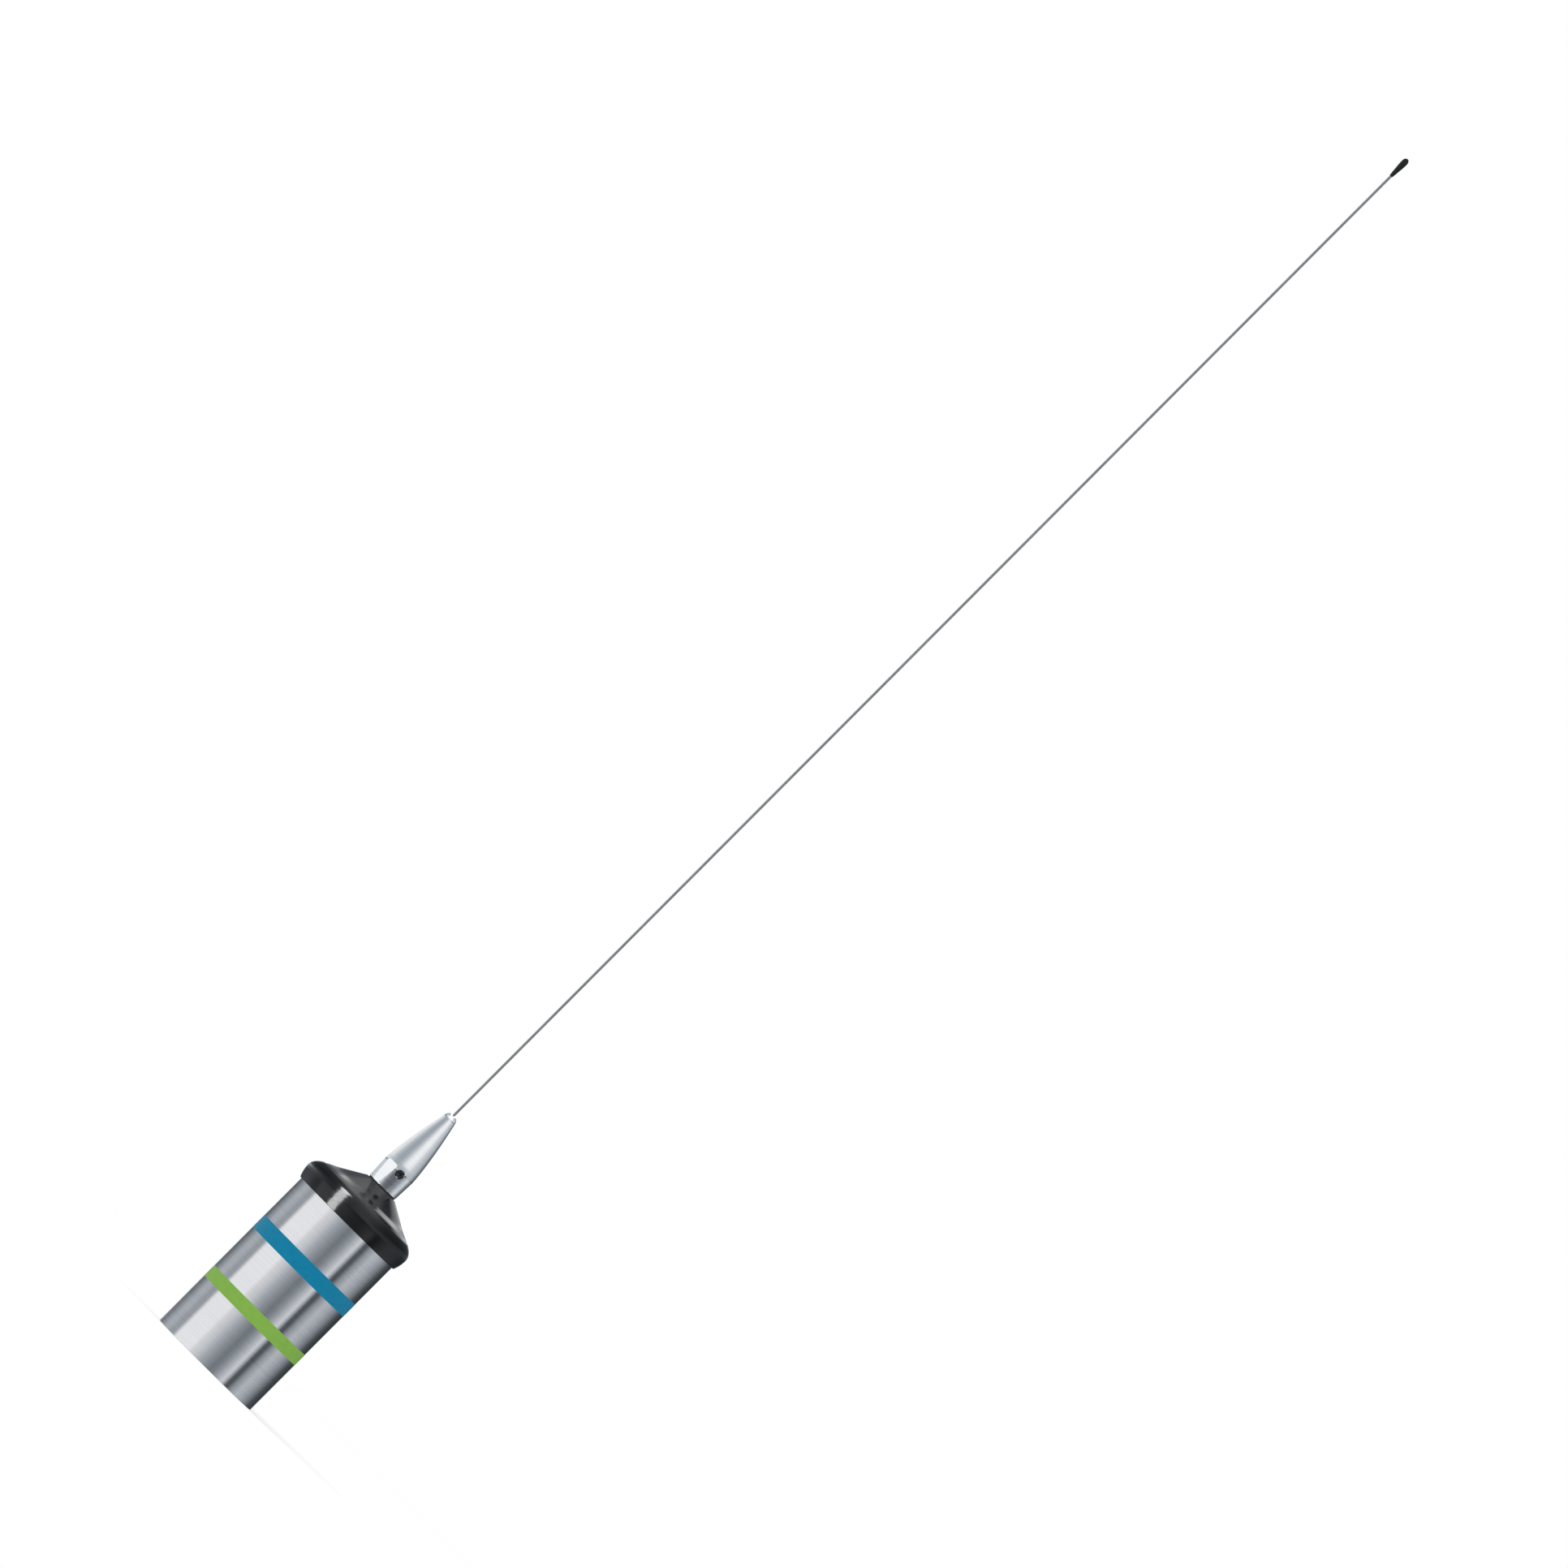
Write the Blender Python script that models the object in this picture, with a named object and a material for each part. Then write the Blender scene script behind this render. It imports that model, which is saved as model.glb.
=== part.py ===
"""Marine radio antenna: a whip on a stainless base tube that holds the matching coil.

The base stands on Z = 0 and its axis is Z. The ferrule, its set screw, the whip and its tip turn
together: they unscrew from the terminal in the cap.
"""

import math

import bmesh
import bpy

MM = 0.001
INCH = 25.4 * MM

# Clearances
fit_gap = 0.3 * MM
seal_gap = 0.15 * MM
whip_gap = 0.12 * MM

# Roundness: sides of the turned pieces
base_sides = 36
plug_sides = 32
ferrule_sides = 36
inner_sides = 24
small_sides = 12
screw_sides = 10
smooth_up_to = math.radians(35)
wire_bevel_resolution = 1

# Whole antenna: 36 in. from the base's underside to the tip
overall_height = 914.4 * MM

# Base tube
tube_diameter = 68.6 * MM
tube_wall = 1.2 * MM
tube_shown = 107.8 * MM
tube_in_cap = 6.2 * MM
tube_edge = 0.3 * MM
green_band_bottom = 34.0 * MM
green_band_width = 7.8 * MM
blue_band_bottom = 70.8 * MM
blue_band_width = 9.2 * MM

# Cap
cap_lip_wall = 0.7 * MM
cap_rim_bulge = 1.65 * MM
cap_widest_above_lip = 7.7 * MM
cap_shoulder_above_lip = 14.7 * MM
cap_shoulder_inset = 5.35 * MM
cap_shoulder_step = 0.2 * MM
cap_slope = math.radians(29.2)
cap_wall = 2.8 * MM
cap_spigot_wall = 2.6 * MM
cap_spigot_length = 18.0 * MM
cap_apex_land = 0.5 * MM
cap_recess_depth = 0.7 * MM
cap_boss_wall = 3.0 * MM
cap_rib_count = 6
cap_rib_width = 2.0 * MM
cap_curve_steps = 3

# Seal rings, in grooves of the cap's spigot and of the base plug
groove_depth = 1.6 * MM
groove_width = 2.4 * MM
groove_from_end = 4.0 * MM
seal_section_sides = 5
moulded_chamfer = 0.6 * MM

# Base plug
plug_plate = 4.0 * MM
plug_skirt_wall = 2.8 * MM
plug_height = 24.0 * MM
plug_boss_wall = 3.2 * MM
plug_ledge = 11.9 * MM
plug_rib_count = 6
plug_rib_width = 2.0 * MM
plug_rib_height = 9.0 * MM

# Mounting bush, with a 1 in. by 14 threads per inch bore
mount_thread_diameter = 23.6 * MM
mount_bush_wall = 3.7 * MM
mount_thread_depth = 11.6 * MM
mount_web = 4.0 * MM
mount_hexagon_edge = 1.33 * MM
mount_chamfer = 0.8 * MM
tapped_depth = 3.2 * MM

# Coax socket
flange_corner = 2.0 * MM
flange_thickness = 1.6 * MM
flange_screw_pitch = 18.2 * MM
flange_screw_edge = 3.6 * MM
gasket_thickness = 0.6 * MM
barrel_diameter = 15.9 * MM
barrel_length = 12.2 * MM
socket_cavity_diameter = 12.0 * MM
socket_cavity_depth = 9.5 * MM
socket_neck_diameter = 9.2 * MM
socket_collar_diameter = 14.0 * MM
socket_collar_height = 2.0 * MM
notch_width = 2.0 * MM
notch_depth = 1.0 * MM
insulator_lip = 2.0 * MM
insulator_above_collar = 1.6 * MM
contact_bore = 4.0 * MM
contact_wall = 0.8 * MM
contact_bore_depth = 9.0 * MM
solder_cup_diameter = 4.4 * MM
solder_cup_height = 4.0 * MM
solder_cup_bore = 2.4 * MM

# Flange screws and ground lug
screw_diameter = 3.0 * MM
screw_head_diameter = 5.5 * MM
screw_head_height = 2.0 * MM
screw_recess_diameter = 2.4 * MM
screw_recess_depth = 1.2 * MM
lug_thickness = 0.6 * MM
lug_ring_wall = 1.3 * MM
lug_tail_width = 2.6 * MM
lug_coil_spot = 4.9 * MM
lug_capacitor_spot = 7.2 * MM

# Coil former and winding
former_wall = 2.5 * MM
former_foot = 2.0 * MM
former_foot_skirt = 3.0 * MM
former_foot_wall = 2.2 * MM
former_collar_height = 1.5 * MM
former_collar_rise = 2.8 * MM
coil_start = 40.0 * MM
coil_pitch = 6.4 * MM
coil_turns = 7
coil_wire = 2.0 * MM
coil_steps_per_turn = 10
coil_collar_gap = 3.0 * MM
coil_start_angle = math.radians(40)
coil_end_bend = math.radians(8)
coil_hole_diameter = 4.6 * MM
tap_turns = 1
lead_wire = 1.4 * MM
lead_inset = 2.4 * MM
lead_steps = 3

# Matching capacitor
capacitor_diameter = 8.4 * MM
capacitor_thickness = 3.0 * MM
capacitor_above_flange = 14.0 * MM
capacitor_lead = 0.8 * MM

# Terminal in the cap, with the ferrule's thread, and the stack on its stud
thread_diameter = 3 / 8 * INCH
thread_length = 12.0 * MM
terminal_wall = 2.4 * MM
terminal_hexagon = 20.0 * MM
terminal_flange = 4.0 * MM
terminal_pocket = 3.0 * MM
terminal_floor = 1.0 * MM
stud_diameter = 6.0 * MM
stud_below_nut = 1.5 * MM
nut_hexagon = 10.0 * MM
nut_height = 5.0 * MM
spring_washer_diameter = 10.4 * MM
spring_washer_thickness = 1.5 * MM
spring_washer_slot = 0.9 * MM
tag_diameter = 12.0 * MM
tag_thickness = 0.8 * MM
tag_tail_width = 3.0 * MM
tag_tail_length = 9.0 * MM

# Ferrule and its washer
ferrule_washer_thickness = 1.0 * MM
ferrule_foot_diameter = 19.0 * MM
ferrule_diameter = 20.0 * MM
ferrule_body_height = 12.5 * MM
ferrule_taper_top = 50.5 * MM
ferrule_nose_diameter = 8.0 * MM
ferrule_nose_height = 3.6 * MM
ferrule_taper_power = 1.42
ferrule_taper_steps = 7
ferrule_nose_steps = 3
ferrule_chamfer = 0.4 * MM
thread_relief_depth = 0.6 * MM
thread_relief_length = 1.5 * MM
wrench_flats = 18.5 * MM
wrench_flat_height = 14.1 * MM
wrench_flat_turn = math.radians(-36)
whip_seat_above_foot = 6.0 * MM

# Set screw that holds the whip
set_screw_height = 11.4 * MM
set_screw_turn = math.radians(12)
set_screw_diameter = 4.2 * MM
set_screw_sunk = 1.6 * MM
set_screw_socket = 2.4 * MM
set_screw_socket_depth = 2.5 * MM

# Whip and tip
whip_diameter = 1.45 * MM
tip_diameter = 3.6 * MM
tip_neck_wall = 0.3 * MM
tip_length = 12.9 * MM
tip_bore_depth = 9.0 * MM
tip_round_steps = 4
tip_swell_steps = 4

# Radii of the base, from the sizes above
tube_radius = tube_diameter / 2
tube_bore = tube_radius - tube_wall
insert_radius = tube_bore - fit_gap
groove_floor = insert_radius - groove_depth
lip_bore = tube_radius + fit_gap
lip_radius = lip_bore + cap_lip_wall
rim_radius = lip_radius + cap_rim_bulge
shoulder_radius = rim_radius - cap_shoulder_inset
cap_spigot_bore = insert_radius - cap_spigot_wall

# Heights of the cap
tube_top = tube_shown + tube_in_cap
cap_seat = tube_top + fit_gap
cap_spigot_bottom = cap_seat - cap_spigot_length
shoulder_height = tube_shown + cap_shoulder_above_lip
ferrule_foot_radius = ferrule_foot_diameter / 2
recess_radius = ferrule_foot_radius + fit_gap
apex_radius = recess_radius + cap_apex_land
cone_radius = shoulder_radius - cap_shoulder_step


def cone_height(radius):
    """Height of the cone's outer face at this radius."""
    return shoulder_height - cap_shoulder_step + (cone_radius - radius) * math.tan(cap_slope)


def cone_underside(radius):
    """Height of the cone's inner face, one wall below the outer one."""
    return cone_height(radius) - cap_wall / math.cos(cap_slope)


apex_height = cone_height(apex_radius)
recess_floor = apex_height - cap_recess_depth
washer_bottom = recess_floor + fit_gap
washer_top = washer_bottom + ferrule_washer_thickness
ferrule_foot = washer_top + fit_gap

# Terminal stack, from the thread down
thread_radius = thread_diameter / 2
thread_bore = thread_radius + fit_gap
terminal_radius = thread_bore + terminal_wall
terminal_bore_bottom = ferrule_foot - thread_length - fit_gap
terminal_flange_top = terminal_bore_bottom - terminal_floor
terminal_flange_bottom = terminal_flange_top - terminal_flange
stud_radius = stud_diameter / 2
stud_hole = stud_radius + fit_gap
tag_top = terminal_flange_bottom - fit_gap
tag_bottom = tag_top - tag_thickness
spring_washer_top = tag_bottom - fit_gap
spring_washer_bottom = spring_washer_top - spring_washer_thickness
nut_top = spring_washer_bottom - fit_gap
nut_bottom = nut_top - nut_height
stud_bottom = nut_bottom - stud_below_nut
cap_hole = terminal_radius + fit_gap
cap_pocket_hexagon = terminal_hexagon + 2 * fit_gap
cap_pocket_floor = terminal_flange_top + fit_gap
cap_boss_bottom = cap_pocket_floor - terminal_pocket
cap_boss_radius = cap_pocket_hexagon / math.sqrt(3) + cap_boss_wall
cap_rib_bottom = cap_seat

# Mounting bush and coax socket, from the bottom up
mount_bore = mount_thread_diameter / 2
mount_bush_radius = mount_bore + mount_bush_wall
mount_bush_top = mount_thread_depth + mount_web
mount_flange_bottom = plug_ledge + fit_gap
gasket_bottom = mount_bush_top + fit_gap
gasket_top = gasket_bottom + gasket_thickness
flange_bottom = gasket_top + fit_gap
flange_top = flange_bottom + flange_thickness
barrel_radius = barrel_diameter / 2
barrel_hole = barrel_radius + fit_gap
barrel_mouth = flange_bottom - barrel_length
cavity_end = barrel_mouth + socket_cavity_depth
collar_top = flange_top + socket_collar_height
screw_hole = screw_diameter / 2 + fit_gap
screw_head_radius = screw_head_diameter / 2
screw_place = flange_screw_pitch / 2
screw_distance = screw_place * math.sqrt(2)
flange_side = flange_screw_pitch + 2 * flange_screw_edge
mount_hexagon = 2 * (screw_distance + screw_hole + mount_hexagon_edge)
lug_bottom = flange_top + fit_gap
lug_top = lug_bottom + lug_thickness
lug_tail_length = lug_capacitor_spot + capacitor_lead
neck_radius = socket_neck_diameter / 2
insulator_face = cavity_end - insulator_lip
insulator_top = collar_top + insulator_above_collar
contact_radius = contact_bore / 2 + contact_wall
contact_top = insulator_top + fit_gap + solder_cup_height

# Base plug's boss and the coil former that sits on it
former_bore = screw_distance + screw_head_radius + 3 * fit_gap
former_radius = former_bore + former_wall
flange_reach = flange_side / math.sqrt(2)
plug_recess = flange_reach + fit_gap
plug_pocket_hexagon = mount_hexagon + 2 * fit_gap
plug_boss_radius = plug_pocket_hexagon / math.sqrt(3) + plug_boss_wall
plug_boss_top = flange_top + fit_gap
former_foot_bottom = plug_boss_top + fit_gap
former_foot_top = former_foot_bottom + former_foot
former_skirt_bottom = former_foot_bottom - former_foot_skirt
plug_step_radius = plug_boss_radius - former_foot_wall - fit_gap
plug_step = former_skirt_bottom - fit_gap
former_top = cap_rib_bottom - fit_gap

# Coil
coil_clear_radius = former_radius + fit_gap + coil_wire / 2
coil_radius = coil_clear_radius / math.cos(math.pi / coil_steps_per_turn)
coil_height = coil_pitch * coil_turns
coil_end = coil_start + coil_height
coil_end_angle = coil_start_angle + math.tau * coil_turns
former_collar_radius = former_radius + former_collar_rise
lead_radius = former_bore - lead_inset
wall_middle = (former_bore + former_radius) / 2


def finish(name, colour, roughness, metallic):
    """A plain material of this colour (linear RGB), roughness and metallic value."""
    made = bpy.data.materials.new(name)
    made.use_nodes = True
    shader = made.node_tree.nodes["Principled BSDF"]
    shader.inputs["Base Color"].default_value = (*colour, 1)
    shader.inputs["Roughness"].default_value = roughness
    shader.inputs["Metallic"].default_value = metallic
    made.diffuse_color = (*colour, 1)
    return made


def place(name, mesh, material, parent=None):
    """Puts a mesh into the scene as a smooth-shaded object with this material."""
    mesh.materials.append(material)
    mesh.shade_smooth()
    mesh.set_sharp_from_angle(angle=smooth_up_to)
    piece = bpy.data.objects.new(name, mesh)
    bpy.context.scene.collection.objects.link(piece)
    piece.parent = parent
    return piece


def turned_mesh(name, outline, sides):
    """Spins a closed outline of (radius, height) points once round the Z axis."""
    shape = bmesh.new()
    ring = [shape.verts.new((radius, 0, height)) for radius, height in outline]
    pairs = zip(ring, ring[1:] + ring[:1])
    edges = [shape.edges.new(pair) for pair in pairs if pair[0].co.x or pair[1].co.x]
    bmesh.ops.spin(shape, geom=ring + edges, axis=(0, 0, 1), angle=math.tau, steps=sides, use_merge=True)
    bmesh.ops.remove_doubles(shape, verts=shape.verts, dist=0.0001 * MM)
    bmesh.ops.recalc_face_normals(shape, faces=shape.faces)
    mesh = bpy.data.meshes.new(name)
    shape.to_mesh(mesh)
    shape.free()
    return mesh


def turned(name, outline, sides, material, parent=None):
    return place(name, turned_mesh(name, outline, sides), material, parent)


def extruded_mesh(name, outlines, bottom, top):
    """Raises closed outlines of (x, y) points from one height to another, as one mesh."""
    shape = bmesh.new()
    for outline in outlines:
        face = shape.faces.new([shape.verts.new((x, y, bottom)) for x, y in outline])
        raised = bmesh.ops.extrude_face_region(shape, geom=[face])["geom"]
        corners = [part for part in raised if isinstance(part, bmesh.types.BMVert)]
        bmesh.ops.translate(shape, verts=corners, vec=(0, 0, top - bottom))
    bmesh.ops.recalc_face_normals(shape, faces=shape.faces)
    mesh = bpy.data.meshes.new(name)
    shape.to_mesh(mesh)
    shape.free()
    return mesh


def circle(radius, sides, centre=(0, 0)):
    angles = [math.tau * step / sides for step in range(sides)]
    return [(centre[0] + radius * math.cos(a), centre[1] + radius * math.sin(a)) for a in angles]


def hexagon(across_flats):
    return circle(across_flats / math.sqrt(3), 6)


def rounded_square(side, corner, steps=3):
    """A square outline whose corners are arcs of this radius."""
    points = []
    for quarter in range(4):
        middle = math.pi / 4 + quarter * math.pi / 2
        reach = (side / 2 - corner) * math.sqrt(2)
        for step in range(steps + 1):
            angle = middle - math.pi / 4 + math.pi / 2 * step / steps
            x = reach * math.cos(middle) + corner * math.cos(angle)
            y = reach * math.sin(middle) + corner * math.sin(angle)
            points.append((x, y))
    return points


def helper(name, mesh, parent=None):
    """A shape that only cuts or joins, and isn't itself a piece."""
    piece = bpy.data.objects.new(name, mesh)
    bpy.context.scene.collection.objects.link(piece)
    piece.hide_render = True
    piece.display_type = "WIRE"
    piece.parent = parent
    return piece


def combine(piece, operation, other):
    """Joins, cuts or trims a piece with a helper, by an exact Boolean."""
    modifier = piece.modifiers.new(other.name, "BOOLEAN")
    modifier.operation = operation
    modifier.solver = "EXACT"
    modifier.object = other


def wire(name, points, diameter, material, bevel_resolution=wire_bevel_resolution):
    """A round wire along these points, closed at both ends."""
    path = bpy.data.curves.new(name, "CURVE")
    path.dimensions = "3D"
    path.bevel_depth = diameter / 2
    path.bevel_resolution = bevel_resolution
    path.use_fill_caps = True
    spline = path.splines.new("POLY")
    spline.points.add(len(points) - 1)
    for point, place_of in zip(spline.points, points):
        point.co = (*place_of, 1)
    path.materials.append(material)
    piece = bpy.data.objects.new(name, path)
    bpy.context.scene.collection.objects.link(piece)
    return piece


def around(radius, angle, height):
    return (radius * math.cos(angle), radius * math.sin(angle), height)


def smooth_route(stops, steps):
    """Points on a Catmull-Rom curve through the stops."""
    padded = [stops[0], *stops, stops[-1]]
    points = [stops[0]]
    for a, b, c, d in zip(padded, padded[1:], padded[2:], padded[3:]):
        for step in range(1, steps + 1):
            t = step / steps
            points.append(tuple(
                0.5 * (2 * q + (r - p) * t + (2 * p - 5 * q + 4 * r - s) * t**2
                       + (3 * q - p - 3 * r + s) * t**3)
                for p, q, r, s in zip(a, b, c, d)
            ))
    return points


def seal_ring(name, height, material):
    """An O-ring, lying between a groove's floor and the tube's bore."""
    middle = (groove_floor + tube_bore) / 2
    section = (tube_bore - groove_floor) / 2 - seal_gap
    outline = [(middle + x, height + z) for x, z in circle(section, seal_section_sides)]
    return turned(name, outline, plug_sides, material)


def radial_ribs(name, count, width, inner, outer, bottom, inner_top, outer_top):
    """Upright plates from one radius to another, as a helper; their top edge may slope."""
    shape = bmesh.new()
    for index in range(count):
        angle = math.tau * (index + 0.5) / count
        along = (math.cos(angle), math.sin(angle))
        corners = [(inner, bottom), (outer, bottom), (outer, outer_top), (inner, inner_top)]
        side = [
            shape.verts.new((
                radius * along[0] + width / 2 * along[1],
                radius * along[1] - width / 2 * along[0],
                height,
            ))
            for radius, height in corners
        ]
        raised = bmesh.ops.extrude_face_region(shape, geom=[shape.faces.new(side)])["geom"]
        moved = [part for part in raised if isinstance(part, bmesh.types.BMVert)]
        bmesh.ops.translate(shape, verts=moved, vec=(-width * along[1], width * along[0], 0))
    bmesh.ops.recalc_face_normals(shape, faces=shape.faces)
    mesh = bpy.data.meshes.new(name)
    shape.to_mesh(mesh)
    shape.free()
    return helper(name, mesh)


def screw_places():
    return [(screw_place * x, screw_place * y) for x, y in ((1, 1), (-1, 1), (-1, -1), (1, -1))]


def make_base_tube(steel, green, blue):
    """The polished tube; the two bands are its own outer faces in another colour."""
    green_top = green_band_bottom + green_band_width
    blue_top = blue_band_bottom + blue_band_width
    outline = [
        (tube_bore, 0),
        (tube_radius - tube_edge, 0),
        (tube_radius, tube_edge),
        (tube_radius, green_band_bottom),
        (tube_radius, green_top),
        (tube_radius, blue_band_bottom),
        (tube_radius, blue_top),
        (tube_radius, tube_top),
        (tube_bore, tube_top),
    ]
    tube = turned("base_tube", outline, base_sides, steel)
    tube.data.materials.append(green)
    tube.data.materials.append(blue)
    for face in tube.data.polygons:
        if math.hypot(face.center.x, face.center.y) < tube_radius - tube_wall / 2:
            continue
        if green_band_bottom < face.center.z < green_top:
            face.material_index = 1
        if blue_band_bottom < face.center.z < blue_top:
            face.material_index = 2


def rim_curve():
    """The rim's side from the lip to the shoulder: a bulge, then a round that ends in the cone's slope."""
    widest = tube_shown + cap_widest_above_lip
    corner_height = shoulder_height - cap_shoulder_inset * math.tan(cap_slope)
    points = []
    for step in range(1, cap_curve_steps):
        t = step / cap_curve_steps
        radius = rim_radius - cap_rim_bulge * (1 - t) ** 2
        points.append((radius, tube_shown + cap_widest_above_lip * t))
    for step in range(cap_curve_steps + 2):
        t = step / (cap_curve_steps + 1)
        radius = rim_radius - cap_shoulder_inset * t**2
        height = (1 - t) ** 2 * widest + 2 * t * (1 - t) * corner_height + t**2 * shoulder_height
        points.append((radius, height))
    return points


def make_top_cap(plastic):
    """The moulded cap: rim over the tube, spigot inside it, cone, and a ribbed boss for the terminal."""
    groove_bottom = cap_spigot_bottom + groove_from_end
    outline = [
        (lip_bore, tube_shown),
        (lip_radius, tube_shown),
        *rim_curve(),
        (cone_radius, shoulder_height - cap_shoulder_step),
        (apex_radius, apex_height),
        (recess_radius, apex_height),
        (recess_radius, recess_floor),
        (cap_hole, recess_floor),
        (cap_hole, cap_boss_bottom),
        (cap_boss_radius, cap_boss_bottom),
        (cap_boss_radius, cone_underside(cap_boss_radius)),
        (cap_spigot_bore, cone_underside(cap_spigot_bore)),
        (cap_spigot_bore, cap_spigot_bottom),
        (insert_radius - moulded_chamfer, cap_spigot_bottom),
        (insert_radius, cap_spigot_bottom + moulded_chamfer),
        (insert_radius, groove_bottom),
        (groove_floor, groove_bottom),
        (groove_floor, groove_bottom + groove_width),
        (insert_radius, groove_bottom + groove_width),
        (insert_radius, cap_seat),
        (lip_bore, cap_seat),
    ]
    cap = turned("top_cap", outline, base_sides, plastic)
    overlap = cap_wall / 3
    ribs = radial_ribs(
        "cap_ribs",
        cap_rib_count,
        cap_rib_width,
        cap_boss_radius - overlap,
        cap_spigot_bore + overlap,
        cap_rib_bottom,
        cone_underside(cap_boss_radius) + overlap,
        cone_underside(cap_spigot_bore) + overlap,
    )
    combine(cap, "UNION", ribs)
    pocket = extruded_mesh(
        "cap_pocket",
        [hexagon(cap_pocket_hexagon)],
        cap_boss_bottom - terminal_flange,
        cap_pocket_floor,
    )
    combine(cap, "DIFFERENCE", helper("cap_pocket", pocket))


def make_base_plug(plastic):
    """The moulded closure: bottom plate, grooved skirt and a ribbed boss round the mounting bush."""
    groove_top = plug_height - groove_from_end
    bush_bore = mount_bush_radius + fit_gap
    outline = [
        (bush_bore, 0),
        (insert_radius - moulded_chamfer, 0),
        (insert_radius, moulded_chamfer),
        (insert_radius, groove_top - groove_width),
        (groove_floor, groove_top - groove_width),
        (groove_floor, groove_top),
        (insert_radius, groove_top),
        (insert_radius, plug_height),
        (insert_radius - plug_skirt_wall, plug_height),
        (insert_radius - plug_skirt_wall, plug_plate),
        (plug_boss_radius, plug_plate),
        (plug_boss_radius, plug_step),
        (plug_step_radius, plug_step),
        (plug_step_radius, plug_boss_top),
        (plug_recess, plug_boss_top),
        (plug_recess, mount_bush_top),
        (bush_bore, mount_bush_top),
    ]
    plug = turned("base_plug", outline, plug_sides, plastic)
    overlap = plug_skirt_wall / 3
    rib_top = plug_plate + plug_rib_height
    ribs = radial_ribs(
        "plug_ribs",
        plug_rib_count,
        plug_rib_width,
        plug_boss_radius - overlap,
        insert_radius - plug_skirt_wall + overlap,
        plug_plate - overlap,
        rib_top,
        rib_top,
    )
    combine(plug, "UNION", ribs)
    pocket = extruded_mesh(
        "plug_pocket", [hexagon(plug_pocket_hexagon)], plug_ledge, plug_boss_top + former_foot
    )
    combine(plug, "DIFFERENCE", helper("plug_pocket", pocket))


def make_mount_bush(chrome):
    """The threaded bush: a hexagonal flange keeps it from turning, and a web carries the socket."""
    flange_radius = mount_hexagon / math.sqrt(3)
    outline = [
        (mount_bore + mount_chamfer, 0),
        (mount_bush_radius, 0),
        (mount_bush_radius, mount_flange_bottom),
        (flange_radius, mount_flange_bottom),
        (flange_radius, mount_bush_top),
        (barrel_hole, mount_bush_top),
        (barrel_hole, mount_thread_depth),
        (mount_bore, mount_thread_depth),
        (mount_bore, mount_chamfer),
    ]
    bush = turned("mount_bush", outline, inner_sides, chrome)
    trim = extruded_mesh("mount_hexagon", [hexagon(mount_hexagon)], -fit_gap, gasket_bottom)
    combine(bush, "INTERSECT", helper("mount_hexagon", trim))
    holes = [circle(screw_hole, screw_sides, spot) for spot in screw_places()]
    drill = extruded_mesh("mount_holes", holes, mount_bush_top - tapped_depth, gasket_bottom)
    combine(bush, "DIFFERENCE", helper("mount_holes", drill))


def make_gasket(rubber):
    sheet = extruded_mesh(
        "socket_gasket", [rounded_square(flange_side, flange_corner)], gasket_bottom, gasket_top
    )
    gasket = place("socket_gasket", sheet, rubber)
    holes = [circle(screw_hole, screw_sides, spot) for spot in screw_places()]
    holes.append(circle(barrel_hole, inner_sides))
    punch = extruded_mesh("gasket_holes", holes, gasket_bottom - fit_gap, gasket_top + fit_gap)
    combine(gasket, "DIFFERENCE", helper("gasket_holes", punch))


def make_socket(nickel, insulating, contact_metal):
    """The coax socket: flanged body, insulator and contact, its mouth facing down."""
    collar_radius = socket_collar_diameter / 2
    cavity_radius = socket_cavity_diameter / 2
    outline = [
        (cavity_radius, barrel_mouth),
        (barrel_radius, barrel_mouth),
        (barrel_radius, flange_bottom),
        (flange_reach, flange_bottom),
        (flange_reach, flange_top),
        (collar_radius, flange_top),
        (collar_radius, collar_top),
        (neck_radius, collar_top),
        (neck_radius, cavity_end),
        (cavity_radius, cavity_end),
    ]
    body = turned("socket_body", outline, inner_sides, nickel)
    square = extruded_mesh(
        "flange_square",
        [rounded_square(flange_side, flange_corner)],
        barrel_mouth - fit_gap,
        collar_top + fit_gap,
    )
    combine(body, "INTERSECT", helper("flange_square", square))
    holes = [circle(screw_hole, screw_sides, spot) for spot in screw_places()]
    drill = extruded_mesh("flange_holes", holes, flange_bottom - fit_gap, flange_top + fit_gap)
    combine(body, "DIFFERENCE", helper("flange_holes", drill))
    notch_top = barrel_mouth + notch_depth
    for turn in range(2):
        reach = (barrel_radius + fit_gap, notch_width / 2)
        x, y = reach[turn], reach[1 - turn]
        bar = extruded_mesh(
            f"mouth_notch_{turn + 1}",
            [[(-x, -y), (x, -y), (x, y), (-x, y)]],
            barrel_mouth - fit_gap,
            notch_top,
        )
        combine(body, "DIFFERENCE", helper(f"mouth_notch_{turn + 1}", bar))
    sleeve_bore = contact_radius + fit_gap
    outline = [
        (sleeve_bore, insulator_face),
        (cavity_radius - fit_gap, insulator_face),
        (cavity_radius - fit_gap, cavity_end - fit_gap),
        (neck_radius - fit_gap, cavity_end - fit_gap),
        (neck_radius - fit_gap, insulator_top),
        (sleeve_bore, insulator_top),
    ]
    turned("socket_insulator", outline, small_sides, insulating)
    cup_floor = insulator_top + fit_gap
    outline = [
        (contact_bore / 2, insulator_face),
        (contact_radius, insulator_face),
        (contact_radius, cup_floor),
        (solder_cup_diameter / 2, cup_floor),
        (solder_cup_diameter / 2, contact_top),
        (solder_cup_bore / 2, contact_top),
        (solder_cup_bore / 2, cup_floor),
        (0, cup_floor),
        (0, insulator_face + contact_bore_depth),
        (contact_bore / 2, insulator_face + contact_bore_depth),
    ]
    turned("socket_contact", outline, small_sides, contact_metal)


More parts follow.
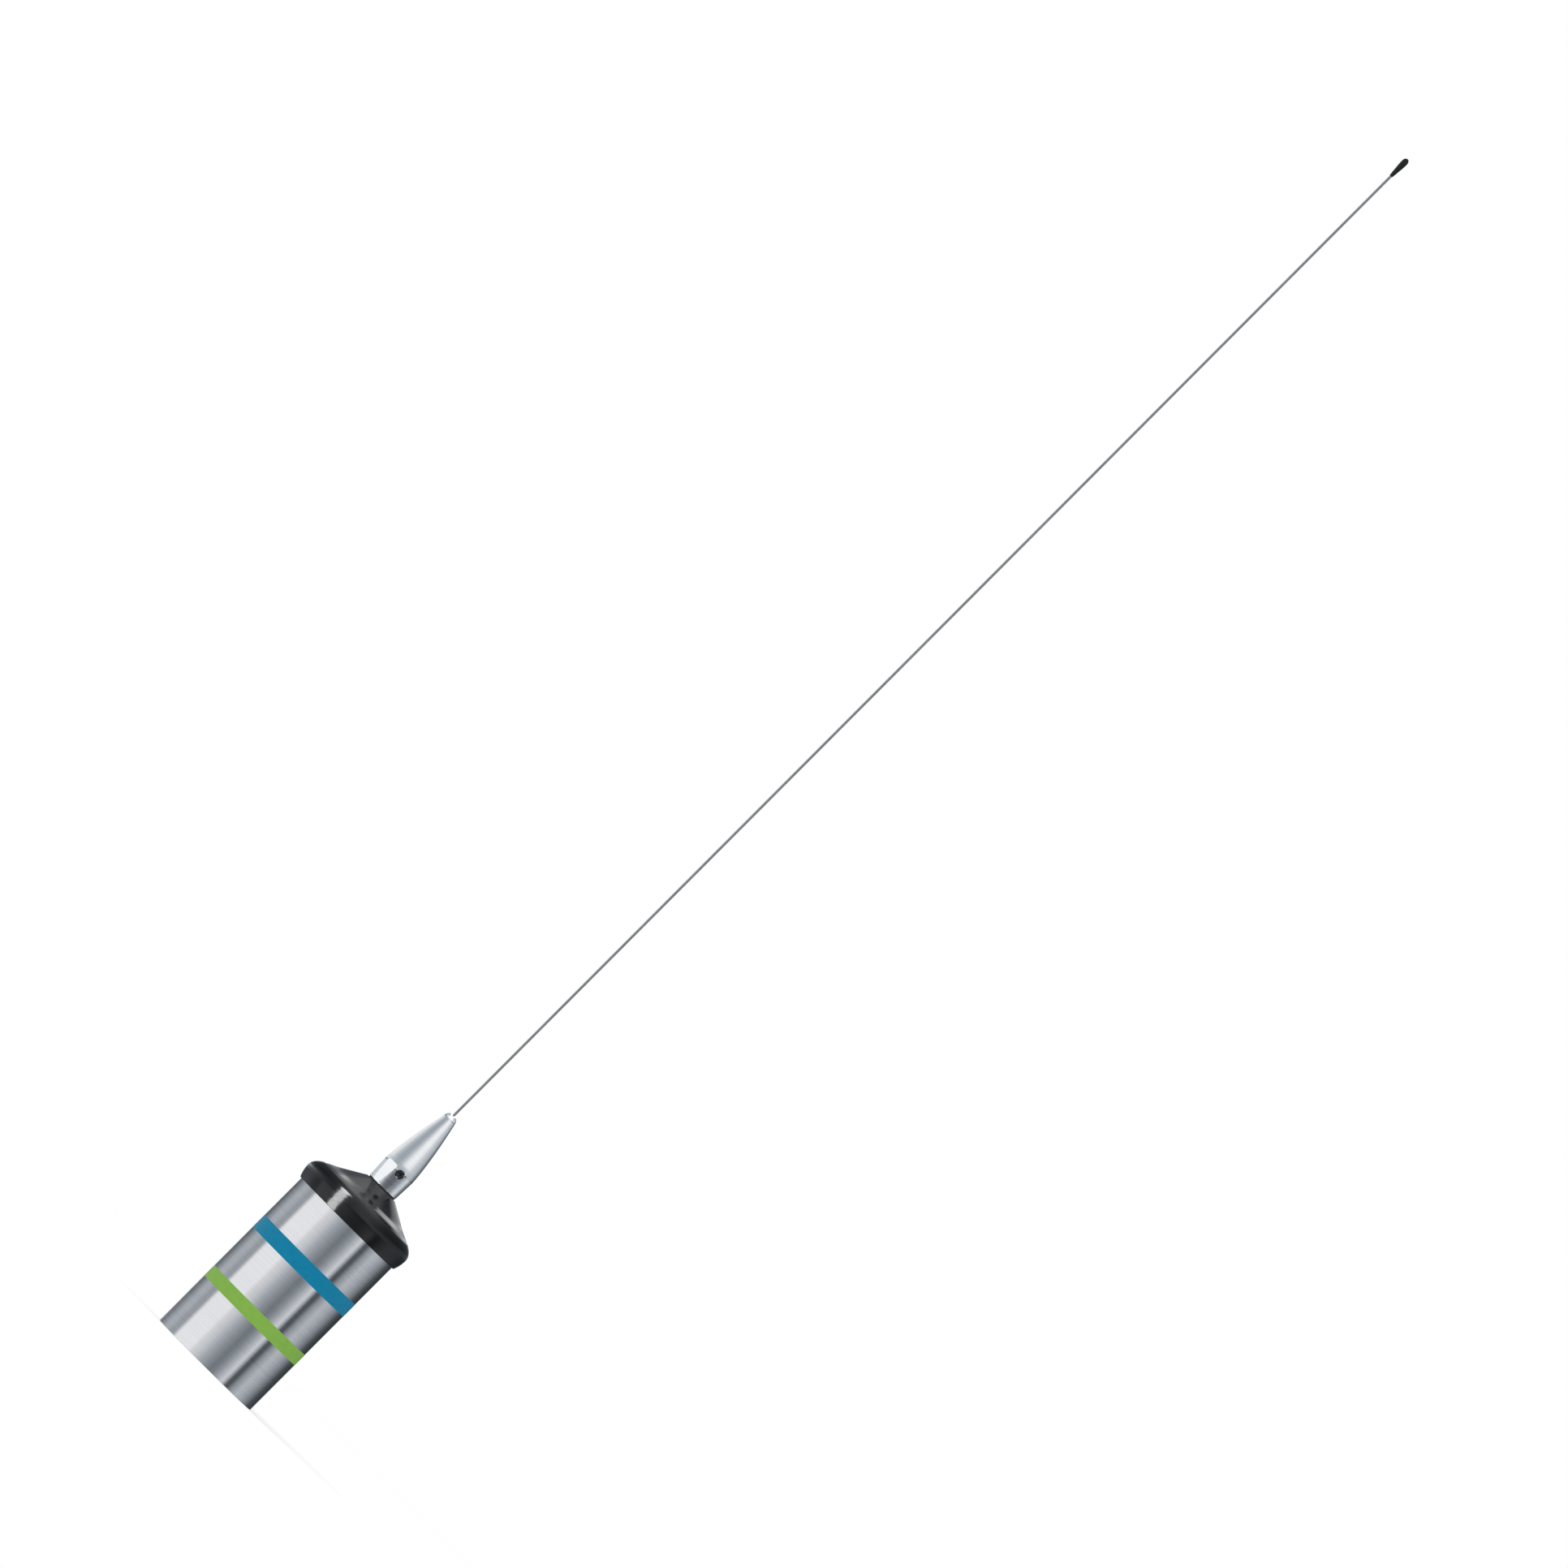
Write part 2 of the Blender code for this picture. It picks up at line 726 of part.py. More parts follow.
def make_flange_screws(steel):
    """Four screws; the first one also holds the ground lug, so its head sits higher."""
    radius = screw_diameter / 2
    shank_end = mount_bush_top - tapped_depth + fit_gap
    for index, (x, y) in enumerate(screw_places()):
        seat = (lug_top if index == 0 else flange_top) + fit_gap
        floor = screw_head_height - screw_recess_depth
        outline = [
            (0, shank_end - seat),
            (radius, shank_end - seat),
            (radius, 0),
            (screw_head_radius, 0),
            (screw_head_radius, screw_head_height / 2),
            (screw_recess_diameter / 2, screw_head_height),
            (screw_recess_diameter / 2, floor),
            (0, floor),
        ]
        screw = turned(f"flange_screw_{index + 1}", outline, screw_sides, steel)
        screw.location = (x, y, seat)


def eyelet(name, hole, outer, tail_width, tail_length, thickness, material):
    """A flat ring with a tail along +X, its underside on Z = 0."""
    start = math.asin(tail_width / 2 / outer)
    sweep = math.tau - 2 * start
    rim = [
        (outer * math.cos(start + sweep * step / small_sides),
         outer * math.sin(start + sweep * step / small_sides))
        for step in range(small_sides + 1)
    ]
    outline = [*rim, (tail_length, -tail_width / 2), (tail_length, tail_width / 2)]
    piece = place(name, extruded_mesh(name, [outline], 0, thickness), material)
    punch = extruded_mesh(f"{name}_hole", [circle(hole, screw_sides)], -fit_gap, thickness + fit_gap)
    combine(piece, "DIFFERENCE", helper(f"{name}_hole", punch, piece))
    return piece


def make_ground_lug(copper):
    lug = eyelet(
        "ground_lug",
        screw_hole,
        screw_hole + lug_ring_wall,
        lug_tail_width,
        lug_tail_length,
        lug_thickness,
        copper,
    )
    lug.location = (screw_place, screw_place, lug_bottom)
    lug.rotation_euler.z = math.radians(-90)


def lug_spot(from_screw):
    """A solder spot on top of the ground lug's tail, this far from its screw."""
    return (screw_place, screw_place - from_screw, lug_top + fit_gap)


def tag_tail():
    """Where the coil's upper end is soldered: below the end of the terminal tag's tail."""
    return (tag_tail_length - coil_wire / 2, 0, tag_bottom - fit_gap)


def make_coil_former(plastic):
    """The tube that carries the coil, with a foot over the plug's boss and holes for the wire."""
    skirt_bore = plug_step_radius + fit_gap
    lower = coil_start - coil_collar_gap
    upper = coil_end + coil_collar_gap
    outline = [
        (former_bore, former_foot_bottom),
        (skirt_bore, former_foot_bottom),
        (skirt_bore, former_skirt_bottom),
        (skirt_bore + former_foot_wall, former_skirt_bottom),
        (skirt_bore + former_foot_wall, former_foot_top),
        (former_radius, former_foot_top),
        (former_radius, lower - former_collar_height),
        (former_collar_radius, lower - former_collar_height),
        (former_collar_radius, lower),
        (former_radius, lower),
        (former_radius, upper),
        (former_collar_radius, upper),
        (former_collar_radius, upper + former_collar_height),
        (former_radius, upper + former_collar_height),
        (former_radius, former_top),
        (former_bore, former_top),
    ]
    former = turned("coil_former", outline, inner_sides, plastic)
    tap_height = coil_start + coil_pitch * tap_turns
    spots = {
        "coil_start_hole": (coil_start, coil_start_angle),
        "coil_end_hole": (coil_end, coil_end_angle),
        "coil_tap_hole": (tap_height, coil_start_angle + math.pi / 2),
    }
    for name, (height, angle) in spots.items():
        drill = extruded_mesh(
            name, [circle(coil_hole_diameter / 2, screw_sides)], lead_radius, coil_radius
        )
        cutter = helper(name, drill)
        cutter.location.z = height
        cutter.rotation_euler = (0, math.pi / 2, angle)
        combine(former, "DIFFERENCE", cutter)


def coil_end_route(angle, height, inward, solder_point):
    """Stops from a hole in the former down (or up, with inward 1) its bore to a solder point."""
    return [
        around(wall_middle, angle, height),
        around(lead_radius + coil_wire / 2, angle, height + inward * coil_wire / 4),
        around(lead_radius, angle, height + inward * 2 * coil_wire),
        around(lead_radius, angle, (height + solder_point[2]) / 2),
        (solder_point[0], solder_point[1], solder_point[2] - inward * coil_wire / 2),
    ]


def make_coil_winding(copper):
    """One copper wire: up from the ground lug, round the former, and in again to the terminal."""
    count = coil_turns * coil_steps_per_turn
    turned_through = math.tau * coil_turns - 2 * coil_end_bend
    helix = []
    for step in range(count + 1):
        turn = coil_end_bend + turned_through * step / count
        height = coil_start + coil_pitch * turn / math.tau
        helix.append(around(coil_radius, coil_start_angle + turn, height))
    lower = coil_end_route(coil_start_angle, coil_start, -1, lug_spot(lug_coil_spot))
    upper = coil_end_route(coil_end_angle, coil_end, 1, tag_tail())
    start = smooth_route([*reversed(lower), helix[0], helix[1]], lead_steps)
    end = smooth_route([helix[-2], helix[-1], *upper], lead_steps)
    wire("coil_winding", start + helix[2:-2] + end, coil_wire, copper)


def make_feed_lead(insulation):
    """The lead from the contact's solder cup to the coil's tap."""
    angle = coil_start_angle + math.pi / 2
    height = coil_start + coil_pitch * tap_turns
    tap = coil_radius - coil_wire / 2 - fit_gap
    stops = [
        (0, 0, contact_top - solder_cup_height + fit_gap),
        (0, 0, contact_top + lead_wire),
        around(lead_radius / 2, angle, height - coil_pitch),
        around(lead_radius, angle, height),
        around(tap, angle, height),
    ]
    wire("feed_lead", smooth_route(stops, lead_steps), lead_wire, insulation)


def make_capacitor(ceramic):
    """A disc capacitor standing on its two leads, between the contact and the ground lug."""
    radius = capacitor_diameter / 2
    half = capacitor_thickness / 2
    outline = [
        (0, -half),
        (radius - half, -half),
        (radius, -half / 3),
        (radius, half / 3),
        (radius - half, half),
        (0, half),
    ]
    cup_side = solder_cup_diameter / 2 + fit_gap + capacitor_lead / 2
    ground = lug_spot(lug_capacitor_spot)
    middle = ((cup_side + ground[0]) / 2, ground[1] / 2)
    height = flange_top + capacitor_above_flange
    disc = turned("matching_capacitor", outline, small_sides, ceramic)
    disc.location = (*middle, height)
    disc.rotation_euler = (math.pi / 2, 0, math.atan2(ground[1], ground[0] - cup_side))
    feet = {
        "contact_lead": (cup_side, 0, contact_top - solder_cup_height / 2),
        "ground_lead": ground,
    }
    for name, (x, y, foot) in feet.items():
        lead = extruded_mesh(name, [circle(capacitor_lead / 2, screw_sides, (x, y))], foot, height)
        combine(disc, "UNION", helper(name, lead))


def make_terminal(brass, tin, steel):
    """The cap's terminal, and the solder tag, spring washer and nut on its stud."""
    flange_radius = terminal_hexagon / math.sqrt(3)
    outline = [
        (0, stud_bottom),
        (stud_radius, stud_bottom),
        (stud_radius, terminal_flange_bottom),
        (flange_radius, terminal_flange_bottom),
        (flange_radius, terminal_flange_top),
        (terminal_radius, terminal_flange_top),
        (terminal_radius, recess_floor),
        (thread_bore, recess_floor),
        (thread_bore, terminal_bore_bottom),
        (0, terminal_bore_bottom),
    ]
    terminal = turned("top_terminal", outline, inner_sides, brass)
    trim = extruded_mesh(
        "terminal_hexagon", [hexagon(terminal_hexagon)], stud_bottom - fit_gap, recess_floor + fit_gap
    )
    combine(terminal, "INTERSECT", helper("terminal_hexagon", trim))
    tag = eyelet(
        "terminal_tag", stud_hole, tag_diameter / 2, tag_tail_width, tag_tail_length, tag_thickness, tin
    )
    tag.location.z = tag_bottom
    outline = [
        (stud_hole, spring_washer_bottom),
        (spring_washer_diameter / 2, spring_washer_bottom),
        (spring_washer_diameter / 2, spring_washer_top),
        (stud_hole, spring_washer_top),
    ]
    washer = turned("terminal_washer", outline, small_sides, steel)
    x, y = spring_washer_diameter, spring_washer_slot / 2
    slot = extruded_mesh(
        "washer_slot",
        [[(0, -y), (x, -y), (x, y), (0, y)]],
        spring_washer_bottom - fit_gap,
        spring_washer_top + fit_gap,
    )
    combine(washer, "DIFFERENCE", helper("washer_slot", slot))
    nut = place(
        "terminal_nut", extruded_mesh("terminal_nut", [hexagon(nut_hexagon)], nut_bottom, nut_top), brass
    )
    bore = extruded_mesh(
        "nut_bore", [circle(stud_hole, small_sides)], nut_bottom - fit_gap, nut_top + fit_gap
    )
    combine(nut, "DIFFERENCE", helper("nut_bore", bore))


def make_ferrule_washer(rubber):
    outline = [
        (thread_bore, washer_bottom),
        (ferrule_foot_radius - fit_gap, washer_bottom),
        (ferrule_foot_radius - fit_gap, washer_top),
        (thread_bore, washer_top),
    ]
    turned("ferrule_washer", outline, inner_sides, rubber)


def ferrule_taper():
    """The long taper: the radius falls by a power of the height, so it leaves the body smoothly."""
    points = []
    nose = ferrule_nose_diameter / 2
    body = ferrule_diameter / 2
    for step in range(ferrule_taper_steps + 1):
        t = step / ferrule_taper_steps
        radius = body - (body - nose) * t**ferrule_taper_power
        points.append((radius, ferrule_body_height + (ferrule_taper_top - ferrule_body_height) * t))
    return points


def ferrule_nose(bore):
    """A quarter ellipse from the taper's end in to the whip."""
    nose = ferrule_nose_diameter / 2
    points = []
    for step in range(1, ferrule_nose_steps + 1):
        angle = math.pi / 2 * step / ferrule_nose_steps
        radius = bore + tip_neck_wall + (nose - bore - tip_neck_wall) * math.cos(angle)
        points.append((radius, ferrule_taper_top + ferrule_nose_height * math.sin(angle)))
    return points


def make_ferrule(chrome, carrier):
    """The chromed ferrule: threaded spigot, body with wrench flats, taper and nose."""
    bore = whip_diameter / 2 + whip_gap
    relief = thread_radius - thread_relief_depth
    outline = [
        (0, -thread_length),
        (thread_radius - ferrule_chamfer, -thread_length),
        (thread_radius, ferrule_chamfer - thread_length),
        (thread_radius, -thread_relief_length),
        (relief, -thread_relief_length),
        (relief, 0),
        (ferrule_foot_radius - ferrule_chamfer, 0),
        (ferrule_foot_radius, ferrule_chamfer),
        *ferrule_taper(),
        *ferrule_nose(bore),
        (bore, ferrule_taper_top + ferrule_nose_height),
        (bore, whip_seat_above_foot),
        (0, whip_seat_above_foot),
    ]
    ferrule = turned("ferrule", outline, ferrule_sides, chrome, carrier)
    flat, reach = wrench_flats / 2, ferrule_diameter
    sides = [
        [(-reach, -reach), (reach, -reach), (reach, -flat), (-reach, -flat)],
        [(-reach, flat), (reach, flat), (reach, reach), (-reach, reach)],
    ]
    mill = helper(
        "wrench_flats", extruded_mesh("wrench_flats", sides, -ferrule_chamfer, wrench_flat_height), carrier
    )
    mill.rotation_euler.z = wrench_flat_turn
    combine(ferrule, "DIFFERENCE", mill)
    hole = set_screw_diameter / 2 + fit_gap
    drill = helper(
        "set_screw_hole", extruded_mesh("set_screw_hole", [circle(hole, small_sides)], 0, reach), carrier
    )
    drill.location.z = set_screw_height
    drill.rotation_euler = (math.pi / 2, 0, set_screw_turn)
    combine(ferrule, "DIFFERENCE", drill)


def make_set_screw(steel, carrier):
    """The socket screw whose point holds the whip, its head sunk below the ferrule's face."""
    start = whip_diameter / 2 + whip_gap
    end = ferrule_diameter / 2 - set_screw_sunk
    radius = set_screw_diameter / 2
    outline = [
        (0, start),
        (radius / 2, start),
        (radius, start + radius / 2),
        (radius, end),
        (set_screw_socket / 2, end),
        (set_screw_socket / 2, end - set_screw_socket_depth),
        (0, end - set_screw_socket_depth),
    ]
    screw = turned("whip_set_screw", outline, screw_sides, steel, carrier)
    screw.location.z = set_screw_height
    screw.rotation_euler = (math.pi / 2, 0, set_screw_turn)


def make_whip(steel, plastic, carrier):
    """The whip, and the tip moulded over its end."""
    radius = whip_diameter / 2
    bore = radius + whip_gap
    top = overall_height - ferrule_foot
    tip_bottom = top - tip_length
    whip_top = tip_bottom + tip_bore_depth
    whip_bottom = whip_seat_above_foot + fit_gap
    outline = [(0, whip_bottom), (radius, whip_bottom), (radius, whip_top), (0, whip_top)]
    turned("whip_rod", outline, screw_sides, steel, carrier)
    full = tip_diameter / 2
    neck = bore + tip_neck_wall
    round_start = top - full
    swell = []
    for step in range(tip_swell_steps + 1):
        t = step / tip_swell_steps
        blend = t * t * (3 - 2 * t)
        swell.append((neck + (full - neck) * blend, tip_bottom + (round_start - tip_bottom) * t))
    dome = []
    for step in range(1, tip_round_steps):
        angle = math.pi / 2 * step / tip_round_steps
        dome.append((full * math.cos(angle), round_start + full * math.sin(angle)))
    outline = [
        (bore, tip_bottom),
        *swell,
        *dome,
        (0, top),
        (0, whip_top + fit_gap),
        (bore, whip_top + fit_gap),
    ]
    turned("whip_tip", outline, small_sides, plastic, carrier)


def main():
    for old in list(bpy.data.objects):
        bpy.data.objects.remove(old, do_unlink=True)
    polished_steel = finish("polished_steel", (0.62, 0.62, 0.63), 0.12, 1)
    whip_steel = finish("whip_steel", (0.36, 0.39, 0.39), 0.3, 1)
    chrome = finish("chrome", (0.72, 0.73, 0.75), 0.08, 1)
    brass = finish("brass", (0.71, 0.51, 0.2), 0.3, 1)
    nickel = finish("nickel", (0.56, 0.54, 0.5), 0.25, 1)
    copper = finish("copper", (0.72, 0.33, 0.18), 0.3, 1)
    tinned = finish("tinned_brass", (0.6, 0.6, 0.58), 0.35, 1)
    black_plastic = finish("black_plastic", (0.013, 0.014, 0.016), 0.25, 0)
    tip_plastic = finish("tip_plastic", (0.01, 0.011, 0.012), 0.4, 0)
    former_plastic = finish("former_plastic", (0.62, 0.6, 0.52), 0.5, 0)
    rubber = finish("rubber", (0.02, 0.02, 0.02), 0.7, 0)
    fluoropolymer = finish("white_insulator", (0.8, 0.8, 0.78), 0.4, 0)
    insulation = finish("red_insulation", (0.45, 0.03, 0.02), 0.45, 0)
    ceramic = finish("dipped_ceramic", (0.5, 0.2, 0.04), 0.35, 0)
    green_print = finish("green_band", (0.195, 0.456, 0.042), 0.3, 0)
    blue_print = finish("blue_band", (0.012, 0.215, 0.423), 0.3, 0)

    make_base_tube(polished_steel, green_print, blue_print)
    make_top_cap(black_plastic)
    seal_ring("cap_seal_ring", cap_spigot_bottom + groove_from_end + groove_width / 2, rubber)
    make_base_plug(black_plastic)
    seal_ring("base_seal_ring", plug_height - groove_from_end - groove_width / 2, rubber)
    make_mount_bush(chrome)
    make_gasket(rubber)
    make_socket(nickel, fluoropolymer, brass)
    make_flange_screws(whip_steel)
    make_ground_lug(tinned)
    make_coil_former(former_plastic)
    make_coil_winding(copper)
    make_feed_lead(insulation)
    make_capacitor(ceramic)
    make_terminal(brass, tinned, whip_steel)
    make_ferrule_washer(rubber)

    carrier = bpy.data.objects.new("ferrule_axis", None)
    bpy.context.scene.collection.objects.link(carrier)
    carrier.location.z = ferrule_foot
    make_ferrule(chrome, carrier)
    make_set_screw(whip_steel, carrier)
    make_whip(whip_steel, tip_plastic, carrier)


main()
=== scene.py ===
"""Looks of a marine whip antenna: fine surfaces, real finishes and a plain soft studio.

Sizes are in millimetres on the frame's own axes: the base stands on Z = 0, and Z is the antenna's
axis. In a profile, each point is (radius, height), and the first and last points of a softened
stretch only lead into it and out of it.
"""

import math

import bmesh
import bpy
import numpy as np
from mathutils import Matrix, Vector


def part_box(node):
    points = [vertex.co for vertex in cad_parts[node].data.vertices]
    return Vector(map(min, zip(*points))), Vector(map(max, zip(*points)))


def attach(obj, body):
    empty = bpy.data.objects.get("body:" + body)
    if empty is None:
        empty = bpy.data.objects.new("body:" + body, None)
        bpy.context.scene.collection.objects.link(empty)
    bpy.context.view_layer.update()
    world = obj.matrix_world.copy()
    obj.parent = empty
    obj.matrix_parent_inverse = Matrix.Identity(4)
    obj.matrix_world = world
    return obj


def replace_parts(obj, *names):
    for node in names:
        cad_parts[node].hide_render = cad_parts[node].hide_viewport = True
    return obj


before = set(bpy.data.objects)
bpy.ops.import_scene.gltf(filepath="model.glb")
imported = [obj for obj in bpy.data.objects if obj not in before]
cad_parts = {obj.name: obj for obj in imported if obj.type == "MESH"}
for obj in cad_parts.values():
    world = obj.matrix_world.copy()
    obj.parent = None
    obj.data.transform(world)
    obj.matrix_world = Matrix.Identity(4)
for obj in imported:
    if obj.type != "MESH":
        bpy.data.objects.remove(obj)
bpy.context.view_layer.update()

MM = 0.001

INCH = 25.4
clearance = 0.3  # what the solids leave between pieces that touch
weld = 1e-7  # metres: points that lie nearer than this become one
hexagon_turn = math.radians(30)  # the angle from X to the middle of each hexagon's first flat

# Tube, and what is fitted in its two ends
tube_radius, tube_bore, tube_top = 34.3, 33.1, 114.0
insert_radius, groove_floor, groove_width, groove_inset = 32.8, 31.2, 2.4, 4.0
insert_chamfer, seal_radius, plug_top = 0.6, 0.8, 24.0
green_band, blue_band = (34.0, 41.8), (70.8, 80.0)
rib_count, rib_width, rib_bite = 6, 2.0, 0.9

# Cap
lip_bottom, lip_bore, lip_radius, rim_radius = 107.8, 34.6, 35.3, 36.95
rim_widest, shoulder_height, shoulder_inset, shoulder_step = 115.5, 122.5, 5.35, 0.2
cone_slope, cap_wall = math.radians(29.2), 2.8
hollow_share, hollow_place, hollow_width = 0.22, 0.23, 0.11
spigot_bottom, spigot_bore = 96.3, 30.2
recess_radius, recess_depth = 9.8, 0.7
cone_radius = rim_radius - shoulder_inset - shoulder_step
cone_bottom = shoulder_height - shoulder_step
apex_radius = recess_radius + 0.5
apex_height = cone_bottom + (cone_radius - apex_radius) * math.tan(cone_slope)
recess_floor = apex_height - recess_depth

# Ferrule, its washer (squeezed out to both faces, as rubber is) and the terminal it screws into
foot = recess_floor + 1.6
washer_bottom, washer_top = recess_floor + 0.02, foot - 0.02
foot_radius, body_radius, nose_radius = 9.5, 10.0, 4.0
body_height, taper_top, nose_height, taper_power = 12.5, 50.5, 3.6, 1.42
wrench_half, wrench_height, wrench_turn = 9.25, 14.1, math.radians(-126)
spigot_length, spigot_radius, ferrule_pitch = 12.0, 9.525 / 2, INCH / 24
terminal_bore = spigot_radius + clearance
terminal_radius = terminal_bore + 2.4
terminal_bottom = foot - spigot_length - clearance
terminal_hexagon = 10.0
screw_height, screw_turn, screw_radius = 11.4, math.radians(12), 2.1

# Whip and tip
whip_radius, whip_bottom, whip_bore = 0.725, 6.3, 0.845
thin_edge = 0.3  # metal or plastic left round the whip at the ends of the ferrule and the tip
tip_bottom, tip_radius, tip_top = 901.5, 1.8, 914.4
tip_bore_depth, tip_lip, tip_dome = 9.0, 2.2, 2.6

# Mounting bush and coax socket in the base plug
bush_bore, bush_radius, bush_top, bush_hexagon = 11.8, 15.5, 15.6, 16.0
mount_pitch, socket_pitch = INCH / 14, INCH / 24
barrel_radius, barrel_mouth, cavity_radius, cavity_end = 7.95, 4.6, 6.0, 14.1
flange_bottom, flange_top, flange_half, flange_corner = 16.8, 18.4, 12.7, 2.0
flange_screw, screw_hole = 9.1, 1.8


def softened(points, radius):
    """An open profile with rounded corners. The corner P between neighbours A and B becomes the
    curve (1-t)^2 P0 + 2t(1-t) P + t^2 P1, where P0 and P1 lie `radius` from P towards A and B, but
    no further than 0.4 of that side. A point a little outside each end keeps the flats flat."""
    steps, outside = 4, 1.2
    p = np.array(points, float)
    middle, to_a, to_b = p[1:-1], p[:-2] - p[1:-1], p[2:] - p[1:-1]
    side_a, side_b = (np.linalg.norm(v, axis=1, keepdims=True) for v in (to_a, to_b))
    reach_a, reach_b = np.minimum(radius, 0.4 * side_a), np.minimum(radius, 0.4 * side_b)
    p0, p1 = middle + to_a / side_a * reach_a, middle + to_b / side_b * reach_b
    t = np.linspace(0, 1, steps + 1)[None, :, None]
    curve = (1 - t) ** 2 * p0[:, None] + 2 * t * (1 - t) * middle[:, None] + t**2 * p1[:, None]
    outer_a = middle + to_a / side_a * reach_a * outside
    outer_b = middle + to_b / side_b * reach_b * outside
    rounded = np.concatenate([outer_a[:, None], curve, outer_b[:, None]], 1).reshape(-1, 2)
    return np.concatenate([p[:1], rounded, p[-1:]])


def mesh_of(name, points, faces):
    """A mesh of these points in millimetres, its seams and poles merged and its faces outward."""
    mesh = bpy.data.meshes.new(name)
    mesh.from_pydata((points * MM).tolist(), [], faces)
    work = bmesh.new()
    work.from_mesh(mesh)
    bmesh.ops.remove_doubles(work, verts=work.verts, dist=weld)
    bmesh.ops.recalc_face_normals(work, faces=work.faces)
    work.to_mesh(mesh)
    work.free()
    return mesh


def turned(name, profile, sides, shape=None):
    """A surface of turning: point (i, j) is (r cos a, r sin a, z) with (r, z) the profile's point i
    and a = 2 pi j / sides. shape(r, z, a) may give another radius, for flats and threads. A profile
    off the axis closes on itself, and one that ends on the axis closes in a pole."""
    rows = len(profile)
    r, z = np.array(profile, float).T[:, :, None]
    a = np.arange(sides)[None] * math.tau / sides
    r = (r if shape is None else shape(r, z, a)) + 0 * a
    points = np.stack([r * np.cos(a), r * np.sin(a), z + 0 * a], -1).reshape(-1, 3)
    spans = rows - 1 if profile[0][0] == 0 and profile[-1][0] == 0 else rows
    i, j = np.meshgrid(np.arange(spans), np.arange(sides), indexing="ij")
    over, on = (i + 1) % rows * sides, (j + 1) % sides
    faces = np.stack([i * sides + j, i * sides + on, over + on, over + j], -1).reshape(-1, 4)
    return mesh_of(name, points, faces.tolist())


def from_flat(a, count, turn=0.0):
    """Angle from the middle of the nearest of `count` equal flats."""
    span = math.tau / count
    return (a - turn + span / 2) % span - span / 2


def hexagonal(half):
    """A shape that trims a round profile by six flats: r = min(r, half / cos(angle off a flat))."""
    return lambda r, z, a: np.minimum(r, half / np.cos(from_flat(a, 6, hexagon_turn)))


def pocketed(half, turn=hexagon_turn):
    """A shape that opens the wall of this radius to a hexagon: r = half / cos(angle off a flat)."""
    return lambda r, z, a: np.where(
        np.isclose(r, half), half / np.cos(from_flat(a, 6, turn)), r)


def threaded(low, high, pitch, depth):
    """A right-hand thread between two heights: r falls by depth times a blunt triangle wave of
    z / pitch - a / 2 pi, and fades out over one pitch at each end. A negative depth cuts outward,
    in a bore."""
    def shape(r, z, a):
        wave = np.abs((z / pitch - a / math.tau) % 1 * 2 - 1)
        fade = np.clip(np.minimum(z - low, high - z) / pitch, 0, 1)
        return r - depth * fade * np.clip(1.3 * wave - 0.15, 0, 1)
    return shape


def rows_between(r, low, high, step):
    """Points straight up (or down) a profile at one radius, `step` apart."""
    count = max(2, int(abs(high - low) / step) + 1)
    return np.stack([np.full(count, float(r)), np.linspace(low, high, count)], 1)


def joined(*parts):
    """One profile from stretches and single points, in order."""
    return np.concatenate([np.atleast_2d(np.array(part, float)) for part in parts])


def boxes(name, corners, width, count):
    """Upright plates spaced round Z: the outline `corners` of (radius, height), `width` thick."""
    outline = np.array(corners, float)
    n = len(outline)
    a = (np.arange(count) + 0.5)[:, None, None] * math.tau / count
    side = np.array([-width / 2, width / 2])[None, :, None]
    r, z = outline[None, None, :, 0], outline[None, None, :, 1] + 0 * a
    x = r * np.cos(a) - side * np.sin(a)
    y = r * np.sin(a) + side * np.cos(a)
    points = np.stack([x, y, z + 0 * x], -1).reshape(-1, 3)
    faces = []
    for k in range(count):
        near, far = 2 * n * k, 2 * n * k + n
        faces.append([near + m for m in range(n)])
        faces.append([far + m for m in reversed(range(n))])
        faces += [[near + m, far + m, far + (m + 1) % n, near + (m + 1) % n] for m in range(n)]
    return mesh_of(name, points, faces)


def carved(mesh, *steps):
    """The mesh after each (operation, tool mesh) step, as exact Booleans that are applied here."""
    link = bpy.context.scene.collection.objects.link
    piece = bpy.data.objects.new("carving", mesh)
    link(piece)
    tools = []
    for operation, tool in steps:
        tools.append(bpy.data.objects.new("tool", tool))
        link(tools[-1])
        modifier = piece.modifiers.new("carve", "BOOLEAN")
        modifier.operation, modifier.solver, modifier.object = operation, "EXACT", tools[-1]
    graph = bpy.context.evaluated_depsgraph_get()
    made = bpy.data.meshes.new_from_object(piece.evaluated_get(graph), depsgraph=graph)
    for helper in [piece, *tools]:
        bpy.data.objects.remove(helper, do_unlink=True)
    return made


def fitted(name, mesh, finishes, body, slot, *nodes, sharp=35):
    """Shows a mesh as a piece that rides on a body in place of these CAD nodes."""
    finishes = finishes if isinstance(finishes, list) else [finishes]
    mesh.materials.clear()
    for finish in finishes:
        mesh.materials.append(finish)
    mesh.shade_smooth()
    mesh.set_sharp_from_angle(angle=math.radians(sharp))
    piece = bpy.data.objects.new(name, mesh)
    bpy.context.scene.collection.objects.link(piece)
    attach(piece, body)
    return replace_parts(piece, *nodes)


def linear(code):
    """An sRGB hex colour as linear RGBA."""
    channels = [int(code[i : i + 2], 16) / 255 for i in (1, 3, 5)]
    return (*[c / 12.92 if c <= 0.04045 else ((c + 0.055) / 1.055) ** 2.4 for c in channels], 1.0)


